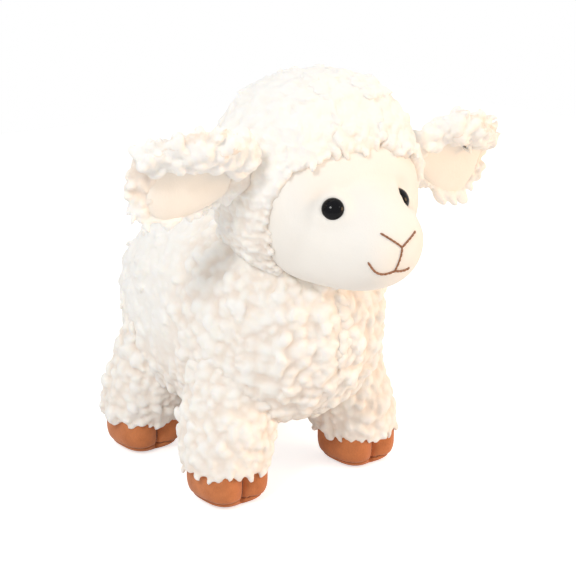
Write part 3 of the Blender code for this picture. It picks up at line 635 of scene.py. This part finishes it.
def over_face(points, facing):
    """How far the hood's wool stands out beyond its cloth there, and forwards over the face's edge."""
    moves = np.zeros_like(points)
    for i, point in enumerate(points):
        near, normal, _, away = FACE_TREE.find_nearest(Vector(point))
        near, normal = np.array(near), np.array(normal)
        rise = np.dot(point - near, normal)
        outward = float(np.clip(np.dot(facing[i], unit(point - HOOD["centre"])) * 2 + 1, 0, 1))
        moves[i] = facing[i] * mix(0.0014, 0.0006, float(ease(away / 0.020))) * outward
        inward = np.array((0, near[1], FACE_Z)) - near
        inward = unit(inward - normal * np.dot(inward, normal))
        share = (1 - ease((away - 0.004) / 0.006)) * ease((hood_depth(near) - 0.90) / 0.06)
        corner = float(ease((abs(near[0]) - 0.018) / 0.012) * ease((near[2] - 0.163) / 0.012))
        over = mix(0.0025, HOOD_CORNERS["left" if near[0] > 0 else "right"], corner)
        slid = inward * float(share) * over * float(ease((near[2] - 0.128) / 0.020))
        if share > 0:
            under, up, _, _ = FACE_TREE.find_nearest(Vector(point + slid))
            moves[i] += np.array(under) + np.array(up) * rise - point
        moves[i] += facing[i] * 0.0016 * corner * (1 - float(ease(away / 0.020))) * outward
    return moves


def hanging(normal):
    """How much of a sleeve's hem hangs over the hoof there: all of it in front, none at the back."""
    return float(ease((-normal[1] - 0.1) / 0.7))


def style(name, point, normal):
    """How a lock stands there: its lean, its size, the room that it takes, its kind and its flatness."""
    swing = unit(rng.normal(size=3))
    lean, size, apart, puffs = swing + DOWN * 0.6, 0.0084, 0.0042, 0.60
    flatness = float(calm(name, point)[0])
    if name.startswith("hood"):
        away = float(ease(FACE_TREE.find_nearest(Vector(point))[3] / 0.022))
        lean, puffs = swing + DOWN * 0.35, 0.75
        size, apart = mix(0.0046, 0.0078, away), mix(0.0025, 0.0041, away)
    elif name.startswith("leg_sleeve"):
        puffs = 0.7
        if point[2] < HEM_HEIGHT + 0.006:
            lean = swing * 0.8 + DOWN * mix(-0.5, 0.5, hanging(normal))
            size, apart = 0.0058, 0.0034
    elif name.startswith("ear"):
        lean, size, apart = swing + DOWN * 0.2, 0.0076, 0.0040
    elif name.startswith("tail"):
        lean, size, apart = swing + DOWN * 0.8, 0.0080, 0.0044
    kind = "puff" if rng.random() < puffs * (1 - flatness) else "leaf"
    flat = mix(0.95, 0.42, flatness)
    if name.startswith("body") and rng.random() < flatness * 1.2:
        kind, size, apart, flat = "strand", mix(size, 0.0125, flatness), 0.0034, 0.42
        lean = swing * 0.45 + np.array((0, 1.0 if rng.random() < 0.5 else -1.0, 0)) + DOWN * 0.15
    elif kind == "puff":
        size, apart = size * 0.90, apart * 1.05
    return lean, size * rng.uniform(0.85, 1.2), apart, kind, flat


def seam_locks(name):
    """Small locks along a panel's seams that lean over to the next panel."""
    others = tree_of([SOLIDS[other] for other in WOOL_PANELS if other != name])
    points, facing = candidates(*SOLIDS[name], 700000)
    seeds = []
    for point, normal in zip(points, facing):
        near, _, _, away = others.find_nearest(Vector(point), 0.0011)
        by_face = FACE_TREE.find_nearest(Vector(point))[3] < 0.002
        if near is None or by_face or not open_to_air(point[None], normal[None])[0]:
            continue
        if SEAM_SPREAD.accept(point, 0.0017):
            across = unit(np.array(near) - point)
            size = (0.0064 if name.startswith("hood") else 0.0074) * rng.uniform(0.85, 1.2)
            flat = mix(0.9, 0.6, float(calm(name, point)[0]))
            over_it = rng.random() < 0.5
            start = (point + np.array(near)) / 2 if over_it else point - across * rng.uniform(0.0004, 0.0020)
            kind = "puff" if over_it else "leaf"
            seeds.append((start, normal, across + unit(rng.normal(size=3)) * 0.9, size, kind, flat))
    return seeds


def hem_wisps(name):
    """Pointed locks that hang from a sleeve's hem over the hoof."""
    points, facing = candidates(*SOLIDS[name], 700000)
    spread, seeds = Spread(0.0075), []
    for point, normal in zip(points, facing):
        if point[2] > HEM_HEIGHT + 0.0060 or abs(normal[2]) > 0.8 or not open_to_air(point[None],
                                                                                     normal[None])[0]:
            continue
        if spread.accept(point, 0.0032):
            lean = DOWN * mix(-0.4, 0.9, hanging(normal)) + unit(rng.normal(size=3)) * 0.8
            kind = "wisp" if rng.random() < 0.12 else "small"
            seeds.append((point, normal, lean, rng.uniform(0.0044, 0.0064), kind, 1.0))
    return seeds


def sown(name, parts):
    """The locks of one panel, large ones first and small ones between them."""
    seeds = seam_locks(name) if name in WOOL_PANELS else []
    for small, spread, density in ((False, LARGE_SPREAD, 260000), (True, SMALL_SPREAD, 240000)):
        points, facing = [], []
        for pts, tris, test in parts:
            p, n = candidates(pts, tris, density)
            if test:
                keep = open_to_air(p, n)
                p, n = p[keep], n[keep]
            points.append(p)
            facing.append(n)
        points, facing = np.vstack(points), np.vstack(facing)
        for i in rng.permutation(len(points)):
            lean, size, apart, kind, flat = style(name, points[i], facing[i])
            if small:
                size, apart, kind = size * 0.60, apart * 1.15, "small"
            low = name.startswith("leg") and points[i][2] < HEM_HEIGHT + 0.0015
            if low and hanging(facing[i]) < 0.5:
                continue
            if spread.accept(points[i], apart):
                seeds.append((points[i], facing[i], lean, size, kind, flat))
    return seeds


# The ears' frames

def ear_matrix(side):
    mirror = Matrix.Scale(SIDES[side], 4, (1, 0, 0))
    turn = Matrix.Rotation(-EAR_LIFTS[side], 4, "Y") @ Matrix.Rotation(EAR_SWEEP, 4, "Z")
    return (Matrix.Translation(JOINT_AT["ear_" + side]) @ mirror @ turn
            @ Matrix.Rotation(EAR_TILT, 4, "X"))


def moved(pts, matrix):
    m = np.array(matrix)
    return pts @ m[:3, :3].T + m[:3, 3]


def ear_width(along, edge):
    """The ear's width from its middle line to its upper or lower edge."""
    neck, reach, share, haste, closing = EAR_WIDTHS[edge]
    widest = EAR_LENGTH * share
    beyond = np.maximum(along - widest, 0) / (EAR_LENGTH - widest)
    rise = ease(np.maximum(along / widest, 0) ** haste)
    leaf = mix(neck, reach, rise) * np.maximum(1 - beyond ** 2, 0) ** closing
    ball = np.sqrt(np.maximum(EAR_ROOT ** 2 - along ** 2, 0))
    return np.maximum(leaf * (along > 0), ball)


def ear_section(along, upper):
    """The ear's width on that side and half its thickness."""
    ball = np.sqrt(np.maximum(EAR_ROOT ** 2 - along ** 2, 0))
    beyond = np.maximum(along / EAR_LENGTH - 0.42, 0) / 0.58
    thick = EAR_HALF_THICKNESS * np.sqrt(np.maximum(1 - beyond ** 2, 0)) * (along > 0)
    return np.where(upper, ear_width(along, "upper"), ear_width(along, "lower")), np.maximum(thick, ball)


def ear_bend(across):
    return np.where(across > 0, EAR_CURLS[0], EAR_CURLS[1]) * (across / EAR_WIDTHS["upper"][1]) ** 2


def ear_outer_form():
    pts, faces = egg(56, 60, 2)
    along = mix(-EAR_ROOT, EAR_LENGTH, np.clip((1 + pts[:, 2]) / 2, 0, 1) ** 1.4)
    turn = np.arctan2(pts[:, 1], pts[:, 0])
    half_width, half_thickness = ear_section(along, np.cos(turn) > 0)
    across = half_width * np.cos(turn)
    return np.stack([along, -ear_bend(across) - half_thickness * np.sin(turn), across], 1), faces


def ear_lining_form(middle, reach):
    pts, faces = egg(64, 40, 2)
    along = EAR_LENGTH * (middle + reach * pts[:, 2])
    turn = np.arctan2(pts[:, 1], pts[:, 0])
    half_width, half_thickness = ear_section(along, np.cos(turn) > 0)
    close = np.sqrt(np.maximum(1 - pts[:, 2] ** 2, 0))
    share = np.where(np.cos(turn) > 0, 0.90, 0.955) * close ** 0.34 * np.cos(turn)
    front = half_thickness * np.sqrt(np.maximum(1 - share ** 2, 0))
    sheet = VELBOA * 0.55 * np.sqrt(close) * np.sin(turn)
    across = half_width * share
    rim = np.maximum(np.abs(np.cos(turn)), 1 - close) ** 6
    return np.stack([along, -ear_bend(across) - front - sheet - 0.0004 + 0.0011 * rim, across], 1), faces


def ear_fold_form(radius, height):
    """The wool of the upper rim, folded forwards over the lining."""
    along = np.linspace(EAR_LENGTH * 0.06, EAR_LENGTH * 0.95, 30)
    half_width, half_thickness = ear_section(along, True)
    across = half_width * height
    swell = np.sin(math.pi * np.linspace(0.20, 0.90, 30)) ** 0.6
    points = np.stack([along, -ear_bend(across) - half_thickness * 0.9 - 0.0008, across], 1)
    return tube(points, radius * swell, 24, section=(1.0, 0.62), up=(0, -1, -0.20))


# Pieces

def add_stuffing():
    sources = ["body_stuffing", "head_stuffing"] + ["leg_stuffing_%s_%s" % leg for leg in LEGS]
    for seed, source in enumerate(sources):
        mesh = remeshed(source + "_fill", source, 0.0030, 4, 0.0005, seed)
        co = coords(mesh) - normals(mesh) * 0.0008
        set_coords(mesh, co)
        piece = place(linked(source + "_fill", mesh), "torso", FIBRE, source, slot="fibre")


def add_wool(face):
    for seed, name in enumerate(WOOL_PANELS):
        body = "tail" if name.startswith("tail") else "torso"
        voxel = 0.0010 if body == "tail" else 0.0016
        pts, tris = SOLIDS[name]
        seeds = sown(name, [(pts, tris, True)])
        if name.startswith("leg"):
            seeds += hem_wisps(name)
        ground = remeshed(name + "_ground", name, voxel, 2, 0.0005, seed)
        co, nn = coords(ground), normals(ground)
        if name.startswith("hood"):
            moves = over_face(np.array([s[0] for s in seeds]), np.array([s[1] for s in seeds]))
            seeds = [(s[0] + m, *s[1:]) for s, m in zip(seeds, moves)]
            set_coords(ground, co + over_face(co, nn))
        else:
            set_coords(ground, co + nn * 0.0006)
        skin = face if name.startswith("hood") else None
        fine = TAIL_VOXEL if body == "tail" else BODY_VOXEL if name.startswith("body") else FINE_VOXEL
        mesh = fleece(name + "_fleece", ground, seeds, fine, skin)
        piece = place(linked(name + "_fleece", mesh), body, WOOL, name, slot="wool")


def add_ears():
    outer, outer_faces = ear_outer_form()
    for side in SIDES:
        fold, fold_faces = ear_fold_form(*EAR_FOLDS[side])
        lining, lining_faces = ear_lining_form(*EAR_LININGS[side])
        body, matrix = "ear_" + side, ear_matrix(side)
        flip = SIDES[side] < 0

        def faced(faces):
            return [f[::-1] for f in faces] if flip else faces
        ground = bmesh.new()
        ground.from_mesh(mesh_of("ear_ground", moved(outer, matrix), faced(outer_faces)))
        ground.from_mesh(mesh_of("ear_fold", moved(fold, matrix), faced(fold_faces)))
        both = bpy.data.meshes.new("ear_both")
        ground.to_mesh(both)
        ground.free()
        leaf = linked("ear_lining_%s_leaf" % side,
                      mesh_of("ear_leaf", moved(lining, matrix), faced(lining_faces)))
        place(leaf, body, LINING_PILE, "ear_lining_" + side, slot="lining")

        def triangles(pts, faces):
            tris = [t for f in faced(faces) for t in ([f] if len(f) == 3 else [(f[0], f[1], f[2]),
                                                                               (f[0], f[2], f[3])])]
            return moved(pts, matrix), np.array(tris)
        back, rim = triangles(outer, outer_faces), triangles(fold, fold_faces)
        # Locks grow on the back and the rim, and not on the lining's hollow
        inverse = np.linalg.inv(np.array(matrix))
        turn_out = np.array(matrix)[:3, :3]
        outer_end = (sum(EAR_LININGS[side]) - 0.05) * EAR_LENGTH
        seeds = []
        for point, normal, lean, size, kind, flat in sown("ear", [(*back, False), (*rim, False)]):
            local = inverse[:3, :3] @ point + inverse[:3, 3]
            facing = inverse[:3, :3] @ normal
            half_width = float(ear_section(np.array([local[0]]), local[2] > 0)[0][0])
            edge = abs(local[2]) / max(half_width, 1e-6)
            on_fold = local[2] > 0 and -local[1] > float(ear_bend(local[2])) + 0.0052
            hollow = 0.16 * EAR_LENGTH < local[0] < outer_end and edge < 0.92 and facing[1] < -0.1
            if local[0] < 0.002 or (hollow and not on_fold):
                continue
            rim_out = turn_out @ np.array((0.6 if local[0] > 0.5 * EAR_LENGTH else 0.0, 0,
                                           math.copysign(1.0, local[2])))
            if on_fold:
                lean = lean + turn_out @ np.array((0.3, 0, 0.5))
                size *= 1.05
            elif edge > 0.8 or local[0] > 0.85 * EAR_LENGTH:
                lean = lean + rim_out * 0.9
                if rng.random() < 0.10:
                    lean, kind = lean + rim_out, "wisp"
            if facing[1] < -0.1 and local[2] < 0:
                size *= 0.7
            elif local[2] < 0 and edge > 0.7:
                lean = lean + DOWN * 1.5
                size *= EAR_FRINGES[side]
            elif edge < 0.7 and not on_fold:
                flat = 0.7
            seeds.append((point, normal, lean, size, kind, flat))
        mesh = fleece("ear_outer_%s_fleece" % side, both, seeds, 0.0009)
        # No lock of the back comes through to the lining's side
        co = coords(mesh)
        local = co @ inverse[:3, :3].T + inverse[:3, 3]
        half_width, half_thickness = ear_section(local[:, 0], local[:, 2] > 0)
        share = np.clip(np.abs(local[:, 2]) / half_width, 0, 1)
        front = -ear_bend(local[:, 2]) - half_thickness * np.sqrt(1 - share ** 2)
        inside = (local[:, 0] > 0.2 * EAR_LENGTH) & (local[:, 0] < outer_end) & (local[:, 2] < 0.25 * half_width)
        through = inside & (share < 0.90) & (local[:, 1] < front + 0.0008) & (local[:, 1] > front - 0.006)
        local[through, 1] = front[through] + 0.0008
        set_coords(mesh, local @ turn_out.T + np.array(matrix)[:3, 3])
        piece = place(linked("ear_outer_%s_fleece" % side, mesh), body, WOOL, "ear_outer_" + side,
                      slot="wool")


def eye_seats():
    """Each eye's rim centre and the way that it looks, read from the frame."""
    seats = {}
    for side in SIDES:
        washer = SOLIDS["eye_washer_" + side][0]
        middle = washer.mean(0)
        axis = np.linalg.svd(washer - middle)[2][2]
        eye = SOLIDS["eye_" + side][0]
        from_axis = eye - middle - np.outer((eye - middle) @ axis, axis)
        rim = eye[np.linalg.norm(from_axis, axis=1) > 0.0057]
        if np.dot(rim.mean(0) - middle, axis) < 0:
            axis = -axis
        seat = middle + axis * (((rim - middle) @ axis).min() - EYE_SINKS[side])
        seat = seat + np.array(EYE_SHIFTS[side])
        tilted = unit(axis + np.array((SIDES[side] * EYE_TILT, 0, 0)))
        seats[side] = (seat, tilted)
    return seats


def add_face(seats):
    pts, faces = FACE_FORM
    keep = [hood_depth(p) > 0.84 and p[1] < -0.045 for p in pts]
    open_pts, open_faces = part_of(pts, faces, keep)
    blank = linked("face", mesh_of("face", open_pts, open_faces))
    mod = blank.modifiers.new("smooth", "SMOOTH")
    mod.iterations, mod.factor = 24, 0.5
    mesh = evaluated(blank, "face")
    co = coords(mesh)
    for side, (seat, axis) in seats.items():
        away = co - seat
        ahead = away @ axis
        out = np.linalg.norm(away - np.outer(ahead, axis), axis=1)
        hollow = min(EYE_SINKS[side],
                     0.0014) * (1 - ease((out - 0.0060) / 0.0180)) * (np.abs(ahead) < 0.014)
        co = co - np.outer(hollow, axis)
        ahead = (co - seat) @ axis
        near = (1 - ease((out - 0.0058) / 0.0060)) * (np.abs(ahead) < 0.012)
        rim = EYE_RADIUS * math.sqrt(1 - ((EYE_LIPS[side] - 0.0007) / EYE_RISE) ** 2) - 0.0002
        lip = np.where(out < rim, 0.0002, EYE_LIPS[side])
        co = co - np.outer((ahead - lip) * near, axis)
    set_coords(mesh, co)
    finished = [tuple(p.vertices) for p in mesh.polygons]
    piece = linked("face_panel_pile", shell("face_panel_pile", co, finished, VELBOA))
    place(piece, "torso", FACE_PILE, "face_panel", slot="velboa")
    return tree_of([(co, finished)])


def front_of(tree, across, height):
    place_, normal, _, _ = tree.ray_cast(Vector((across, -0.25, height)), Vector((0, 1, 0)))
    return np.array(place_), np.array(normal)


def stitched(name, tree, path, thickness, pitch, material, node_name, slot="thread"):
    """A run of back stitches that dip into the cloth at their ends."""
    path = np.asarray(path)
    place_of = [front_of(tree, *p) for p in path]
    points = np.array([p for p, _ in place_of])
    facing = unit(np.array([n for _, n in place_of]))
    length = np.concatenate([[0], np.cumsum(np.linalg.norm(np.diff(points, axis=0), axis=1))])
    count = max(2, round(length[-1] / pitch))
    verts, faces = [], []
    for k in range(count):
        at = np.linspace(length[-1] * max(k - 0.12, 0) / count, length[-1] * min(k + 1.12, count) / count,
                         7)
        p = np.stack([np.interp(at, length, points[:, i]) for i in range(3)], 1)
        n = unit(np.stack([np.interp(at, length, facing[:, i]) for i in range(3)], 1))
        arch = np.sin(np.linspace(0, math.pi, 7)) ** 0.6
        p = p + n * (mix(-0.25, 0.62, arch) * thickness)[:, None]
        ring, ring_faces = tube(p, thickness * mix(0.62, 1.0, arch), 8, up=(0, 1, 0))
        start = sum(len(v) for v in verts)
        faces += [tuple(i + start for i in f) for f in ring_faces]
        verts.append(ring)
    piece = linked(name, mesh_of(name, np.vstack(verts), faces))
    return place(piece, "torso", material, node_name, slot=slot)


def add_stitches(tree):
    steps = np.linspace(-1, 1, 41)
    nose = [(0.0105 * s - 0.0008, mix(0.1475, 0.1544 - 0.0009 * s, abs(s) ** 0.9)) for s in steps]
    middle = [(mix(-0.0008, -0.0030, s ** 1.6), mix(0.1472, 0.1356, s)) for s in np.linspace(0, 1, 15)]
    mouth = []
    for s in np.linspace(-1, MOUTH_FAR_SHARE, 37):
        dip = 0.0010 * math.sin(math.pi * min(abs(s) / 0.95, 1))
        mouth.append(((0.0145 if s < 0 else 0.0161) * s - 0.0030, mix(0.1357, 0.1417, abs(s) ** 4.0) - dip))
    stitched("nose_thread", tree, nose, 0.00056, 0.0024, THREAD, "nose_stitch")
    stitched("philtrum_thread", tree, middle, 0.00052, 0.0024, THREAD, "philtrum_stitch")
    stitched("mouth_thread", tree, mouth, 0.00060, 0.0024, THREAD, "mouth_stitch")


def add_eyes(seats):
    """A turned dome with its shank for each eye, and the washer behind the cloth."""
    tilt = np.linspace(0, math.pi / 2, 15)
    profile = [(0.0001 + EYE_RADIUS * math.sin(t), 0.0007 + EYE_RISE * math.cos(t)) for t in tilt]
    profile += [(0.0055, 0.0005), (0.0053, 0.0001), (0.0017, 0.0), (0.0016, -0.0005), (0.0016, -0.0105)]
    around = np.arange(56) / 56 * math.tau
    for side, (seat, axis) in seats.items():
        turn = np.array(Vector(axis).to_track_quat("Z", "Y").to_matrix())
        rings = np.array([[(r * math.cos(a), r * math.sin(a), z) for a in around] for r, z in profile])
        verts = rings.reshape(-1, 3) @ turn.T + seat
        faces = [(k * 56 + i, (k + 1) * 56 + i, (k + 1) * 56 + (i + 1) % 56, k * 56 + (i + 1) % 56)
                 for k in range(len(profile) - 1) for i in range(56)]
        faces += [tuple(range(56)), tuple(range((len(profile) - 1) * 56, len(profile) * 56))[::-1]]
        bead = linked("eye_bead_" + side, mesh_of("eye_bead_" + side, verts, faces))
        place(bead, "torso", EYE, "eye_" + side, slot="eye")
        frame["nodes"]["eye_washer_" + side].material_slots[0].material = WASHER


def hoof_form():
    """The whole hoof: two plump toes with a narrow cleft between them."""
    pts, faces = egg(160, 60, HOOF_FULLNESS)
    turn = np.arctan2(pts[:, 0], -pts[:, 1])
    groove = 0.20 * np.exp(-(turn / math.radians(20)) ** 2) + 0.13 * np.exp(-(turn / math.radians(5)) ** 2)
    groove *= ease((pts[:, 2] + 0.98) / 0.25)
    reach = 1 - groove
    out = np.stack([pts[:, 0] * reach * HOOF_RADII[0], HOOF_Y + pts[:, 1] * reach * HOOF_RADII[1],
                    HOOF_Z + pts[:, 2] * HOOF_RADII[2]], 1)
    seam = 1 - 0.030 * np.exp(-((out[:, 2] - SOLE_HEIGHT) / 0.0007) ** 2)
    out[:, 0] *= seam
    out[:, 1] = HOOF_Y + (out[:, 1] - HOOF_Y) * seam
    out[:, 2] = np.maximum(out[:, 2], 0)
    return out, faces


def add_hooves():
    pts, faces = hoof_form()
    upper_pts, upper_faces = part_of(pts, faces, (pts[:, 2] > SOLE_HEIGHT + 0.0001) & (pts[:, 2] < 0.0275))
    sole_pts, sole_faces = part_of(pts, faces, pts[:, 2] < SOLE_HEIGHT + 0.0001)
    for end, side in LEGS:
        leg = "%s_%s" % (end, side)
        offset = np.array((SIDES[side] * FEET[end][0], FEET[end][1], 0))
        for kind, part_pts, part_faces in (("upper", upper_pts, upper_faces),
                                           ("sole", sole_pts, sole_faces)):
            name = "hoof_%s_%s" % (kind, leg)
            mesh = shell(name + "_pile", part_pts + offset, part_faces, VELBOA * 0.8)
            piece = place(linked(name + "_pile", mesh), "torso", HOOF_PILE, name, slot="hoof")
        tree = tree_of([(pts + offset, faces)])
        path = [(offset[0], z) for z in np.linspace(SOLE_HEIGHT + 0.001, 0.0195, 20)]
        stitched("hoof_cleft_%s_thread" % leg, tree, path, 0.0005, 0.0025, CLEFT_THREAD,
                 "hoof_cleft_stitch_" + leg)


# Stage, lamps and camera

def add_stage():
    floor = linked("floor", mesh_of("floor", [(-1, -1, 0), (1, -1, 0), (1, 1, 0), (-1, 1, 0)],
                                    [(0, 1, 2, 3)]))
    made, tree, bsdf = shader_of("floor_paper", (0.80, 0.80, 0.80), 0.9)
    rays = tree.nodes.new("ShaderNodeLightPath")
    seen = node(tree, "ShaderNodeMath", operation="MAXIMUM")
    tree.links.new(rays.outputs["Is Camera Ray"], seen.inputs[0])
    tree.links.new(rays.outputs["Is Glossy Ray"], seen.inputs[1])
    both = node(tree, "ShaderNodeMath", operation="MAXIMUM")
    tree.links.new(seen.outputs[0], both.inputs[0])
    tree.links.new(rays.outputs["Is Transmission Ray"], both.inputs[1])
    bsdf.inputs["Emission Color"].default_value = (1, 1, 1, 1)
    lift = node(tree, "ShaderNodeMath", operation="MULTIPLY")
    lift.inputs[1].default_value = 0.65
    tree.links.new(both.outputs[0], lift.inputs[0])
    tree.links.new(lift.outputs[0], bsdf.inputs["Emission Strength"])
    floor.data.materials.append(made)
    world = bpy.data.worlds.new("studio")
    bpy.context.scene.world = world
    world.use_nodes = True
    tree = world.node_tree
    sky = tree.nodes["Background"]
    sky.inputs["Color"].default_value = (1, 1, 1, 1)
    rays = tree.nodes.new("ShaderNodeLightPath")
    seen = node(tree, "ShaderNodeMath", operation="MAXIMUM")
    both = node(tree, "ShaderNodeMath", operation="MAXIMUM")
    tree.links.new(rays.outputs["Is Camera Ray"], seen.inputs[0])
    tree.links.new(rays.outputs["Is Glossy Ray"], seen.inputs[1])
    tree.links.new(seen.outputs[0], both.inputs[0])
    tree.links.new(rays.outputs["Is Transmission Ray"], both.inputs[1])
    tree.links.new(ranged(tree, both.outputs[0], 0.0, 1.0, 0.65, 1.0), sky.inputs["Strength"])


def add_lamp(name, at, aim, size, power, colour):
    data = bpy.data.lights.new(name, "AREA")
    data.shape, data.size, data.energy, data.color = "DISK", size, power, colour
    lamp = bpy.data.objects.new(name, data)
    bpy.context.scene.collection.objects.link(lamp)
    lamp.location = at
    lamp.rotation_euler = (Vector(aim) - Vector(at)).to_track_quat("-Z", "Y").to_euler()


def add_camera():
    turn = math.radians(-36.7)
    back = Vector((math.sin(turn), -math.cos(turn), 0))
    right = Vector((math.cos(turn), math.sin(turn), 0))
    data = bpy.data.cameras.new("camera")
    data.sensor_width, data.lens = 36, 1512 / 576 * 36
    camera = bpy.data.objects.new("camera", data)
    bpy.context.scene.collection.objects.link(camera)
    camera.location = back * 0.8 + Vector((0, 0.0105, 0.33))
    aim = right * 0.0223 + Vector((0, 0.0105, 0.0986))
    camera.rotation_euler = (aim - camera.location).to_track_quat("-Z", "Y").to_euler()
    bpy.context.scene.camera = camera


def main():
    bpy.context.scene.view_settings.view_transform = "Standard"
    add_stage()
    add_lamp("key", (-0.98, -0.56, 1.02), (0, 0, 0.11), 0.3, 6.8, (1.0, 0.985, 0.97))
    add_lamp("fill", (0.95, -0.85, 0.34), (0, 0, 0.07), 0.5, 7.4, (1.0, 0.62, 0.31))
    add_lamp("catch", (0.42, -1.07, 0.90), (0, 0, 0.16), 0.06, 0.5, (1.0, 1.0, 1.0))
    add_lamp("top", (0.1, 0.5, 1.35), (0, 0, 0.12), 1.0, 2.2, (1.0, 0.98, 0.94))
    add_camera()
    add_stuffing()
    seats = eye_seats()
    tree = add_face(seats)
    add_wool(tree)
    add_ears()
    add_stitches(tree)
    add_eyes(seats)
    add_hooves()


main()
